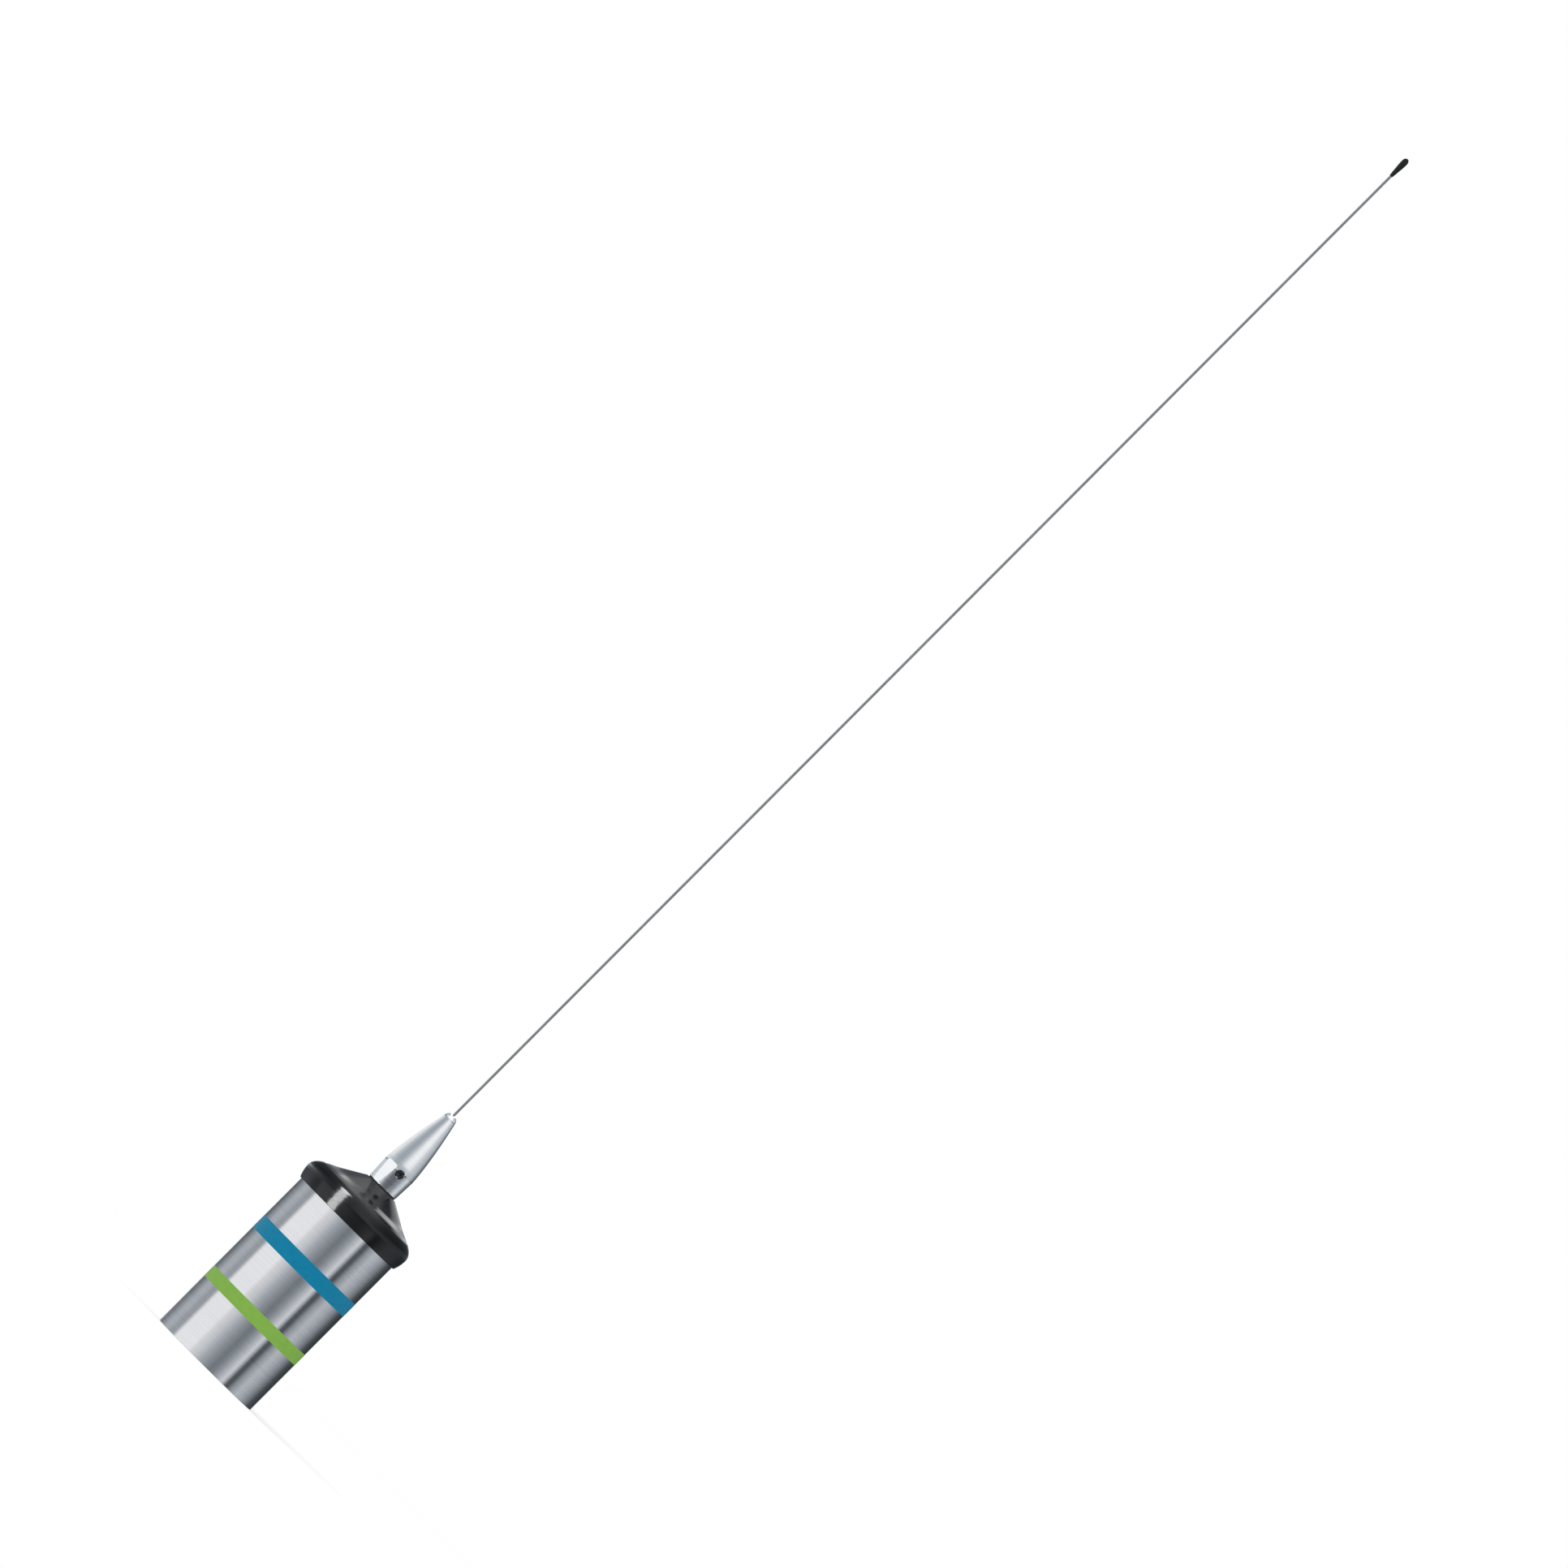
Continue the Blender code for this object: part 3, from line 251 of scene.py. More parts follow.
def add(tree, kind, inputs=None, stops=None, **settings):
    """Adds a node of this kind with its settings, its ramp's (place, colour) stops, and its inputs,
    each a value, or the socket or node that it is linked from."""
    node = tree.nodes.new("ShaderNode" + kind)
    for key, value in settings.items():
        setattr(node, key, value)
    if stops:
        marks = node.color_ramp.elements
        while len(marks) > 1:
            marks.remove(marks[-1])
        for index, (place, colour) in enumerate(sorted(stops)):
            mark = marks[0] if index == 0 else marks.new(place)
            mark.position, mark.color = place, colour
    for key, value in (inputs or {}).items():
        if isinstance(value, bpy.types.Node):
            value = value.outputs[0]
        if isinstance(value, bpy.types.NodeSocket):
            tree.links.new(value, node.inputs[key])
        else:
            node.inputs[key].default_value = value
    return node


def finish(name, light, dark, roughness, cell, relief, metallic=0.0, lathe=0.0, **shader):
    """A real surface finish. One noise pattern, with cells of `cell` (x, y, z) mm, leads the colour
    from `dark` to `light`, the roughness between its two values, and a relief of this height in mm.
    With `lathe`, the distance from Z, times it, is added to the height, so that marks of turning
    run as rings on ends too. `shader` holds plain values for the shader's own sockets."""
    low, high = 0.3, 0.7  # most of the noise lies between these
    made = bpy.data.materials.new(name)
    made.use_nodes = True
    tree = made.node_tree
    tree.nodes.clear()
    place = add(tree, "TexCoord").outputs["Object"]
    if lathe:
        flat = add(tree, "VectorMath", {0: place, 1: (1, 1, 0)}, operation="MULTIPLY").outputs[0]
        length = add(tree, "VectorMath", {0: flat}, operation="LENGTH").outputs["Value"]
        rise = add(tree, "Math", {0: length, 1: lathe}, operation="MULTIPLY").outputs[0]
        lift = add(tree, "CombineXYZ", {"Z": rise}).outputs[0]
        place = add(tree, "VectorMath", {0: place, 1: lift}, operation="ADD").outputs[0]
    scale = [1 / (c * MM) for c in cell]
    scaled = add(tree, "Mapping", {"Vector": place, "Scale": scale}).outputs[0]
    pattern = {"Vector": scaled, "Scale": 1.0, "Detail": 2.0, "Roughness": 0.6}
    value = add(tree, "TexNoise", pattern).outputs[0]
    blend = add(tree, "MapRange", {0: value, 1: low, 2: high}).outputs[0]
    ends = [(0, linear(dark)), (1, linear(light))]
    colour = add(tree, "ValToRGB", {0: blend}, ends).outputs[0]
    gloss = add(tree, "MapRange", {0: value, 1: low, 2: high, 3: roughness[0], 4: roughness[1]})
    bump = add(tree, "Bump", {"Height": value, "Distance": relief * MM, "Strength": 1.0})
    surface = add(
        tree,
        "BsdfPrincipled",
        {
            "Base Color": colour,
            "Roughness": gloss.outputs[0],
            "Normal": bump.outputs[0],
            "Metallic": metallic,
            **{key.replace("_", " "): value for key, value in shader.items()},
        },
    )
    out = add(tree, "OutputMaterial", {"Surface": surface.outputs[0]})
    out.is_active_output = True
    return made


# Finishes, each named for the real material and how its surface was made. After the name come the
# light and dark colour, the two roughnesses, the pattern's cells and relief in mm, and then the
# metallic value and the lathe's share, where they aren't 0.

# Drawn stainless tube, belt polished round its girth: bright, with faint rings. The real lines are
# about 0.05 mm apart and are drawn at 0.5 mm, so that they show.
polished_stainless = finish(
    "polished_stainless_tube", "#CFD0D2", "#C6C7C9",
    (0.055, 0.08), (60, 60, 0.5), 0.0004, 1.0, 1.7)
# Screen-printed inks on the tube: even, slightly glossy, with a trace of uneven ink film.
green_ink = finish(
    "screen_printed_green_ink", "#88BA50", "#82B44A",
    (0.4, 0.5), (3, 3, 3), 0.002, Specular_IOR_Level=0.15)
blue_ink = finish(
    "screen_printed_blue_ink", "#0683AB", "#047DA3",
    (0.4, 0.5), (3, 3, 3), 0.002, Specular_IOR_Level=0.15)
# Injection-moulded black ABS: near black, semi-gloss, with the mould's fine orange peel.
moulded_abs = finish(
    "moulded_black_abs", "#15171A", "#111315",
    (0.1, 0.15), (1.6, 1.6, 1.6), 0.002, Specular_IOR_Level=0.3)
# Turned brass, polished and chromed: mirror bright, with very faint rings left by the polishing.
bright_chrome = finish(
    "bright_chrome_plate", "#E0E2E4", "#D8DADC",
    (0.05, 0.09), (30, 30, 0.6), 0.0004, 1.0, 1.7)
# Stainless spring wire as drawn through a die: grey, dull, streaked along its length.
drawn_wire = finish(
    "drawn_stainless_wire", "#A3A8A7", "#8F9493",
    (0.26, 0.36), (0.3, 0.3, 12), 0.001, 1.0)
# Tip moulded in black polyamide: satin, and blacker than the cap.
moulded_polyamide = finish(
    "moulded_black_polyamide", "#101112", "#0B0C0D",
    (0.32, 0.42), (0.8, 0.8, 0.8), 0.004, Specular_IOR_Level=0.3)
# Nitrile rubber, moulded and cut: matt black with a pale bloom.
nitrile = finish(
    "moulded_nitrile_rubber", "#2B2B2B", "#1F1F1F",
    (0.6, 0.8), (0.9, 0.9, 0.9), 0.01)
# Nickel plate over turned brass: warm grey, with rings of turning.
nickel_plate = finish(
    "nickel_plate", "#C6BFB2", "#B4ADA0",
    (0.18, 0.3), (20, 20, 0.35), 0.002, 1.0, 1.7)
# Bare turned brass: yellow, with rings of turning and a little tarnish.
turned_brass = finish(
    "turned_brass", "#D9B45C", "#C39B45",
    (0.2, 0.34), (16, 16, 0.4), 0.003, 1.0, 1.7)
# Tinned brass strip: pale and mottled.
tinned_brass = finish(
    "hot_tinned_brass", "#CDCCC7", "#B5B4AE",
    (0.28, 0.42), (0.7, 0.7, 0.7), 0.004, 1.0)
# Enamelled copper wire: clear lacquer over bright copper.
enamelled_copper = finish(
    "enamelled_copper_wire", "#D58A62", "#B8663F",
    (0.22, 0.34), (2, 2, 2), 0.002, 1.0, Coat_Weight=0.6)
# Stainless screws and washers, barrel finished: grey with fine tumbling marks.
tumbled_stainless = finish(
    "tumbled_stainless", "#B7BABA", "#A0A3A3",
    (0.22, 0.36), (0.5, 0.5, 0.5), 0.002, 1.0)
# Alloy steel set screw, blackened in hot oxide: charcoal, faintly oily.
blackened_steel = finish(
    "black_oxide_steel", "#4A4C50", "#3A3C40",
    (0.3, 0.42), (0.6, 0.6, 0.6), 0.002, 1.0)
# Glass-filled former, moulded: ivory, with short pale fibres at the surface.
filled_nylon = finish(
    "moulded_ivory_nylon", "#D6D0BE", "#C6BFAB",
    (0.42, 0.56), (0.5, 0.5, 2.5), 0.008)
# Fluoropolymer insulator, turned: waxy white.
turned_ptfe = finish(
    "turned_white_ptfe", "#EDEDE8", "#E2E2DC",
    (0.32, 0.42), (8, 8, 0.4), 0.003, 0.0, 1.7)
# Extruded silicone sleeve on the lead: red, satin.
silicone_sleeve = finish(
    "extruded_red_silicone", "#B52B22", "#A2241C",
    (0.4, 0.5), (1.2, 1.2, 1.2), 0.004)
# Epoxy-dipped ceramic disc: ochre, glossy and a little lumpy.
dipped_ceramic = finish(
    "dipped_ochre_ceramic", "#C47A2C", "#B06A22",
    (0.25, 0.35), (2, 2, 2), 0.03)


def make_tube():
    """The tube, straight and round, its ends softened. The bands are its faces between heights."""
    end, row = 0.6, 6
    heights = [end, *green_band, *blue_band, tube_top - end]
    stretches = [rows_between(tube_radius, *ends, row) for ends in zip(heights, heights[1:])]
    outer = joined(*stretches)
    outer = outer[np.concatenate([[True], np.abs(np.diff(outer[:, 1])) > 1e-6])]
    profile = joined(
        softened([(tube_bore, end), (tube_bore, 0), (tube_radius, 0), (tube_radius, end)],
                 0.35)[1:-1],
        outer,
        softened([(tube_radius, tube_top - end), (tube_radius, tube_top), (tube_bore, tube_top),
                  (tube_bore, tube_top - end)], 0.25)[1:-1],
    )
    mesh = turned("tube", profile, 288)
    centres = np.empty(len(mesh.polygons) * 3)
    mesh.polygons.foreach_get("center", centres)
    x, y, z = centres.reshape(-1, 3).T / MM
    outside = np.hypot(x, y) > tube_radius - 0.1
    index = np.zeros(len(z), int)
    for value, (low, high) in ((1, green_band), (2, blue_band)):
        index[outside & (z > low) & (z < high)] = value
    finishes = [polished_stainless, green_ink, blue_ink]
    fitted("polished_tube", mesh, finishes, "base", "polished_steel", "base_tube")
    mesh.polygons.foreach_set("material_index", index)
    mesh.update()


def cap_outside():
    """The cap's outer profile: r = rim - (rim - lip) (1-t)^2 from the lip to its widest, then a
    quadratic curve over the shoulder, then the cone: with u the share of the way in, its slope goes
    as 1 - share exp(-((u - place) / width)^2), so that it is straight but for a shallow hollow near
    its foot, and its height is that slope's running sum."""
    t = np.linspace(0, 1, 13)[1:]
    bulge = np.stack([rim_radius - (rim_radius - lip_radius) * (1 - t) ** 2,
                      lip_bottom + (rim_widest - lip_bottom) * t], 1)
    t = np.linspace(0, 1, 19)[1:]
    corner = shoulder_height - shoulder_inset * math.tan(cone_slope)
    over = np.stack([
        rim_radius - shoulder_inset * t**2,
        (1 - t) ** 2 * rim_widest + 2 * t * (1 - t) * corner + t**2 * shoulder_height], 1)
    u = np.linspace(0, 1, 49)
    slope = 1 - hollow_share * np.exp(-(((u - hollow_place) / hollow_width) ** 2))
    climb = np.cumsum(slope) - slope[0]
    cone = np.stack([cone_radius + (apex_radius - cone_radius) * u,
                     cone_bottom + (apex_height - cone_bottom) * climb / climb[-1]], 1)
    return joined(bulge, over, cone)


def make_cap():
    """The moulded cap: outside, recess, hexagon pocket, ribbed hollow, and the grooved spigot."""
    def underside(radius):
        above = cone_bottom + (cone_radius - radius) * math.tan(cone_slope)
        return above - cap_wall / math.cos(cone_slope)

    pocket, pocket_top, boss_bottom, boss_wall = 10.3, 121.993, 118.993, 3
    boss, hole = pocket * 2 / math.sqrt(3) + boss_wall, terminal_radius + clearance
    seat, groove = tube_top + clearance, spigot_bottom + groove_inset
    groove_end = groove + groove_width
    lip = softened([(lip_bore, lip_bottom + 1.5), (lip_bore, lip_bottom), (lip_radius, lip_bottom),
                    (lip_radius + 0.3, lip_bottom + 1.0)], 0.25)[1:-1]
    top = softened([(apex_radius + 0.6, apex_height - 0.33), (apex_radius, apex_height),
                    (recess_radius, apex_height), (recess_radius, recess_floor),
                    (hole, recess_floor), (hole, recess_floor - 1)], 0.15)[1:-1]
    inner = [(hole, pocket_top), (pocket, pocket_top), (pocket, boss_bottom), (boss, boss_bottom),
             (boss, underside(boss)), (spigot_bore, underside(spigot_bore))]
    spigot = softened([
        (spigot_bore, spigot_bottom + 2), (spigot_bore, spigot_bottom),
        (insert_radius - insert_chamfer, spigot_bottom),
        (insert_radius, spigot_bottom + insert_chamfer), (insert_radius, groove),
        (groove_floor, groove), (groove_floor, groove_end), (insert_radius, groove_end),
        (insert_radius, seat), (lip_bore, seat), (lip_bore, seat - 1)], 0.15)[1:-1]
    outside = cap_outside()
    outside = outside[(outside[:, 1] > lip_bottom + 0.7)][:-1]
    rib_in, rib_out = boss - rib_bite, spigot_bore + rib_bite
    ribs = boxes("ribs", [
        (rib_in, seat), (rib_out, seat), (rib_out, underside(spigot_bore) + rib_bite),
        (rib_in, underside(boss) + rib_bite)], rib_width, rib_count)
    profile = joined(lip, outside, top, inner, spigot)
    mesh = carved(turned("cap", profile, 240, pocketed(pocket)), ("UNION", ribs))
    fitted("moulded_cap", mesh, moulded_abs, "base", "black_plastic", "top_cap")


def make_seals():
    """The two O-rings: circles of one small radius carried round the axis in their grooves."""
    a = np.arange(16) * math.tau / 16
    middle = (groove_floor + tube_bore) / 2
    for name, height, node in (
        ("cap_o_ring", spigot_bottom + groove_inset + groove_width / 2, "cap_seal_ring"),
        ("base_o_ring", plug_top - groove_inset - groove_width / 2, "base_seal_ring"),
    ):
        ring = np.stack([middle + seal_radius * np.cos(a), height + seal_radius * np.sin(a)], 1)
        fitted(name, turned(name, ring, 144), nitrile, "base", "rubber", node)


def make_plug():
    """The base plug: plate, grooved skirt, ribs, and a boss with the bush's hexagon pocket."""
    pocket, ledge, boss, boss_step, step_height, boss_top = 16.3, 11.9, 22.02, 19.52, 15.7, 18.7
    skirt_bore, plate_top, rib_top = 30, 4, 13
    hole, groove_end = bush_radius + clearance, plug_top - groove_inset
    groove = groove_end - groove_width
    outer = softened([
        (hole, 1.0), (hole, 0), (insert_radius - insert_chamfer, 0),
        (insert_radius, insert_chamfer), (insert_radius, groove), (groove_floor, groove),
        (groove_floor, groove_end), (insert_radius, groove_end), (insert_radius, plug_top),
        (skirt_bore, plug_top), (skirt_bore, plate_top), (boss, plate_top), (boss, step_height),
        (boss_step, step_height), (boss_step, boss_top), (18.9, boss_top)], 0.25)[1:-1]
    inner = [(pocket, boss_top), (pocket, ledge), (hole, ledge)]
    rib_in, rib_out = boss - rib_bite, skirt_bore + rib_bite
    ribs = boxes("ribs", [
        (rib_in, plate_top - 1), (rib_out, plate_top - 1), (rib_out, rib_top),
        (rib_in, rib_top)], rib_width, rib_count)
    mesh = carved(
        turned("plug", joined(outer, inner), 192, pocketed(pocket)), ("UNION", ribs))
    fitted("moulded_base_plug", mesh, moulded_abs, "base", "black_plastic", "base_plug")


def screw_drills(low, high):
    """Boolean steps that drill the holes for the flange's four screws."""
    steps = []
    for x, y in ((1, 1), (-1, 1), (-1, -1), (1, -1)):
        profile = [(0, low), (screw_hole, low), (screw_hole, high), (0, high)]
        tool = turned("drill", profile, 24)
        tool.transform(Matrix.Translation(Vector((flange_screw * x, flange_screw * y, 0)) * MM))
        steps.append(("DIFFERENCE", tool))
    return steps


def make_bush():
    """The mounting bush: 14 threads per inch cut outward from its bore, web, and hexagon above."""
    depth, hole = 11.6, barrel_radius + clearance
    head_bottom, head_radius, mouth, thread_depth = 12.2, 18.475, 0.8, 0.9
    thread = rows_between(bush_bore, depth - 0.3, 1.0, mount_pitch / 10)
    profile = joined(
        softened([(bush_bore, 1.4), (bush_bore + mouth, 0), (bush_radius, 0), (bush_radius, 1)],
                 0.2)[1:-1],
        softened([(bush_radius, 6), (bush_radius, head_bottom), (head_radius, head_bottom),
                  (head_radius, bush_top), (hole, bush_top), (hole, depth), (bush_bore, depth),
                  (bush_bore, depth - 1)], 0.12)[1:-1],
        thread,
    )
    cut = threaded(0.9, depth - 0.2, mount_pitch, -thread_depth)
    trim = hexagonal(bush_hexagon)

    def shape(r, z, a):
        r = np.where(np.isclose(r, bush_bore), cut(r, z, a), r)
        return np.where(r > bush_radius + 0.1, trim(r, z, a), r)

    holes = screw_drills(bush_top - 3.2, bush_top + 1)
    mesh = carved(turned("bush", profile, 180, shape), *holes)
    fitted("threaded_mount_bush", mesh, bright_chrome, "base", "chrome", "mount_bush")


def make_socket():
    """The coax socket: barrel with 24 threads per inch and four notches, and a square flange, where
    r = half / cos(angle from the nearest side), or at a corner the polar form of its circle."""
    hub_radius, hub_bore, hub_top, cavity_lead = 7, 4.6, 20.4, 12
    notch_reach, notch_depth, notch_width, thread_depth = 9, 1, 2.0, 0.55
    thread = rows_between(
        barrel_radius, barrel_mouth + 0.5, flange_bottom - 0.3, socket_pitch / 8)
    reach = flange_half * math.sqrt(2)
    corner = (flange_half - flange_corner) * math.sqrt(2)
    profile = joined(
        softened([(cavity_radius, barrel_mouth + 1), (cavity_radius, barrel_mouth),
                  (barrel_radius, barrel_mouth), (barrel_radius, barrel_mouth + 1)], 0.3)[1:-1],
        thread,
        [(barrel_radius, flange_bottom), (reach, flange_bottom), (reach, flange_top)],
        softened([(8, flange_top), (hub_radius, flange_top), (hub_radius, hub_top),
                  (hub_bore, hub_top), (hub_bore, cavity_end), (cavity_radius, cavity_end),
                  (cavity_radius, cavity_lead)], 0.15)[1:-1],
    )
    cut = threaded(barrel_mouth + 0.5, flange_bottom - 1.2, socket_pitch, thread_depth)

    def shape(r, z, a):
        r = np.where(np.isclose(r, barrel_radius), cut(r, z, a), r)
        d = np.abs(from_flat(a, 4))
        beta = math.pi / 4 - d
        arc = corner * np.cos(beta) + np.sqrt(
            np.maximum(flange_corner**2 - (corner * np.sin(beta)) ** 2, 0))
        straight = flange_half / np.cos(d)
        square = np.where(flange_half * np.tan(d) < flange_half - flange_corner, straight, arc)
        return np.where(r > 15, np.minimum(r, square), r)

    low, high = barrel_mouth - notch_depth, barrel_mouth + notch_depth
    notches = boxes("notches", [
        (-notch_reach, low), (notch_reach, low), (notch_reach, high), (-notch_reach, high)],
        notch_width, 1)
    notches.transform(Matrix.Rotation(math.pi, 4, "Z"))
    across = notches.copy()
    across.transform(Matrix.Rotation(math.pi / 2, 4, "Z"))
    holes = screw_drills(flange_bottom - 1, flange_top + 1)
    mesh = carved(turned("socket", profile, 180, shape),
                  ("DIFFERENCE", notches), ("DIFFERENCE", across), *holes)
    fitted("coax_socket_body", mesh, nickel_plate, "base", "nickel", "socket_body")


def make_socket_core():
    """The socket's insulator and, through it, its contact with a solder cup on top."""
    face, top, sleeve, head, neck, neck_height = 12.1, 22.0, 3.1, 5.7, 4.3, 13.8
    profile = softened([
        (sleeve, face + 3), (sleeve, face), (head, face), (head, neck_height),
        (neck, neck_height), (neck, top), (sleeve, top), (sleeve, top - 3)], 0.2)[1:-1]
    fitted("coax_insulator", turned("insulator", profile, 96), turned_ptfe, "base",
           "white_insulator", "socket_insulator")

    bore, radius, bore_end, body_end = 2.0, 2.8, 21.1, 22.3
    cup_radius, cup_bore, cup_top = 2.2, 1.2, 26.3
    profile = softened([
        (0, body_end), (0, bore_end), (bore, bore_end), (bore, face), (radius, face),
        (radius, body_end), (cup_radius, body_end), (cup_radius, cup_top), (cup_bore, cup_top),
        (cup_bore, body_end), (0, body_end)], 0.12)[1:]
    fitted("coax_contact", turned("contact", profile, 64), turned_brass, "base", "brass",
           "socket_contact")


def make_terminal():
    """The cap's terminal: stud, hexagon, and a socket with the ferrule's thread cut outward."""
    stud_radius, hexagon_height, hexagon_drop, thread_depth = 3, 4.0, 1.0, 0.5
    hexagon_top = terminal_bottom - hexagon_drop
    hexagon_bottom = hexagon_top - hexagon_height
    corner = terminal_hexagon * 2 / math.sqrt(3)
    stud_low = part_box("top_terminal")[0][2] / MM
    outer = softened([
        (0, stud_low), (stud_radius, stud_low), (stud_radius, hexagon_bottom),
        (corner, hexagon_bottom), (corner, hexagon_top), (terminal_radius, hexagon_top),
        (terminal_radius, recess_floor), (terminal_bore, recess_floor),
        (terminal_bore, recess_floor - 1)], 0.2)[:-1]
    thread = rows_between(
        terminal_bore, recess_floor - 0.4, terminal_bottom + 0.2, ferrule_pitch / 8)
    profile = joined(outer, thread, [(terminal_bore, terminal_bottom), (0, terminal_bottom)])
    cut = threaded(terminal_bottom + 0.6, recess_floor - 0.1, ferrule_pitch, -thread_depth)
    trim = hexagonal(terminal_hexagon)

    def shape(r, z, a):
        inside = np.isclose(r, terminal_bore) & (z > terminal_bottom)
        return np.where(inside, cut(r, z, a), trim(r, z, a))

    fitted("threaded_terminal", turned("terminal", profile, 144, shape), turned_brass, "base",
           "brass", "top_terminal")


def make_washer():
    """The rubber washer, its edges rounded."""
    bore, radius = terminal_bore, foot_radius - clearance
    profile = softened([
        (bore, washer_bottom + 0.5), (bore, washer_bottom), (radius, washer_bottom),
        (radius, washer_top), (bore, washer_top), (bore, washer_top - 0.4)], 0.12)[1:-1]
    fitted("rubber_ferrule_washer", turned("washer", profile, 128), nitrile, "seal", "rubber",
           "ferrule_washer")


def screwdriver_way(mesh, height):
    """Turns a mesh made along Z so that it points out of the ferrule at the set screw's place."""
    turn = Matrix.Rotation(screw_turn, 4, "Z") @ Matrix.Rotation(math.pi / 2, 4, "X")
    mesh.transform(Matrix.Translation((0, 0, height * MM)) @ turn)
    return mesh


def make_ferrule():
    """The ferrule: threaded spigot, body with two milled flats, a taper whose radius falls as a
    power of the height, and a nose; then the drilled hole for the screw. The nose leaves the taper
    on its own slope and comes in level: (1-t)^2 P0 + 2t(1-t) P1 + t^2 P2, with P1 where those two
    lines meet. Heights count from the ferrule's foot."""
    thread_depth, chamfer = 0.6, 0.4
    thread = rows_between(spigot_radius, -spigot_length + 0.8, -1.6, ferrule_pitch / 8)
    relief = spigot_radius - 0.6
    t = np.linspace(0, 1, 41)
    taper = np.stack([body_radius - (body_radius - nose_radius) * t**taper_power,
                      body_height + (taper_top - body_height) * t], 1)
    taper = taper[taper[:, 1] > wrench_height + 0.3]
    nose_end, ferrule_top = whip_bore + thin_edge, taper_top + nose_height
    fall = taper_power * (body_radius - nose_radius) / (taper_top - body_height)
    t = np.linspace(0, 1, 17)[1:, None]
    nose = ((1 - t) ** 2 * (nose_radius, taper_top) + t**2 * (nose_end, ferrule_top)
            + 2 * t * (1 - t) * (nose_radius - fall * nose_height, ferrule_top))

    def body_at(z):
        s = np.clip((z - body_height) / (taper_top - body_height), 0, 1)
        return body_radius - (body_radius - nose_radius) * s**taper_power

    z = np.linspace(1.0, body_height, 12)
    lower = np.stack([foot_radius + (body_radius - foot_radius) * z / body_height, z], 1)
    z = np.array([body_height + 0.8, wrench_height - 0.02, wrench_height + 0.12])
    step = np.stack([body_at(z), z], 1)
    profile = joined(
        softened([(0, -spigot_length), (spigot_radius - chamfer, -spigot_length),
                  (spigot_radius, chamfer - spigot_length), (spigot_radius, 1 - spigot_length)],
                 0.1)[:-1],
        thread,
        softened([(spigot_radius, -3), (spigot_radius, -1.5), (relief, -1.3), (relief, 0),
                  (foot_radius, 0), (foot_radius + 0.02, 0.9)], 0.25)[1:-1],
        lower, step, taper, nose,
        [(whip_bore, ferrule_top), (whip_bore, 6), (0, 6)],
    )
    cut = threaded(-spigot_length + 0.5, -1.5, ferrule_pitch, thread_depth)

    def shape(r, z, a):
        r = np.where(np.isclose(r, spigot_radius) & (z < -1.4), cut(r, z, a), r)
        flat = wrench_half / np.cos(from_flat(a, 2, wrench_turn))
        return np.where((z > -0.5) & (z < wrench_height), np.minimum(r, np.abs(flat)), r)

    mouth, hole_radius = body_radius - 1.2, screw_radius + clearance
    mouth_radius, beyond = screw_radius + 0.55, 11
    hole = [(0, 0), (hole_radius, 0), (hole_radius, mouth), (mouth_radius, mouth + 0.3),
            (mouth_radius, beyond), (0, beyond)]
    tool = screwdriver_way(turned("tool", hole, 48), screw_height)
    mesh = carved(turned("ferrule", profile, 256, shape), ("DIFFERENCE", tool))
    mesh.transform(Matrix.Translation((0, 0, foot * MM)))
    fitted("chromed_ferrule", mesh, bright_chrome, "whip", "chrome", "ferrule", sharp=24)


def make_set_screw():
    """The set screw: coned point, fine thread and a hexagon socket."""
    start, end, socket, socket_depth, drill_depth = whip_bore, body_radius - 1.6, 1.1, 2.5, 2.7
    pitch, thread_depth = 0.7, 0.3
    thread = rows_between(screw_radius, start + 1.3, end - 0.3, 0.1)
    profile = joined(
        [(0, start), (screw_radius / 2, start)], thread,
        [(screw_radius - 0.15, end), (socket * 1.2, end), (socket, end - 0.1),
         (socket, end - socket_depth), (0, end - drill_depth)],
    )
    cut = threaded(start + 1.2, end - 0.2, pitch, thread_depth)
    socketed = pocketed(socket, 0.0)

    def shape(r, z, a):
        return socketed(np.where(np.isclose(r, screw_radius), cut(r, z, a), r), z, a)

    mesh = screwdriver_way(turned("screw", profile, 96, shape), foot + screw_height)
    fitted("socket_set_screw", mesh, blackened_steel, "whip", "whip_steel", "whip_set_screw")


def make_whip():
    """The whip, a plain round wire."""
    low, high = foot + whip_bottom, tip_bottom + tip_bore_depth
    profile = joined([(0, low)], rows_between(whip_radius, low, high, 8), [(0, high)])
    fitted("whip_wire", turned("whip", profile, 48), drawn_wire, "whip", "whip_steel", "whip_rod")


def make_tip():
    """The whip's tip: a thin conical lip, then r = neck + (full - neck)(3t^2 - 2t^3), then a
    quarter ellipse."""
    neck, middle = whip_bore + thin_edge, tip_top - tip_dome
    bore_end = tip_bottom + tip_bore_depth + clearance
    t = np.linspace(0, 1, 33)
    swell = np.stack([neck + (tip_radius - neck) * (3 * t**2 - 2 * t**3),
                      tip_bottom + (middle - tip_bottom) * t], 1)
    swell = swell[swell[:, 1] > tip_bottom + tip_lip]
    a = np.linspace(0, math.pi / 2, 17)[1:]
    dome = np.stack([tip_radius * np.cos(a), middle + tip_dome * np.sin(a)], 1)
    dome[-1, 0] = 0
    bore = softened([(0, bore_end), (whip_bore, bore_end), (whip_bore, tip_bottom),
                     (whip_bore + 0.06, tip_bottom), swell[0]], 0.08)
    mesh = turned("tip", joined(bore, swell[1:], dome), 64)
    fitted("moulded_whip_tip", mesh, moulded_polyamide, "whip", "tip_plastic", "whip_tip")


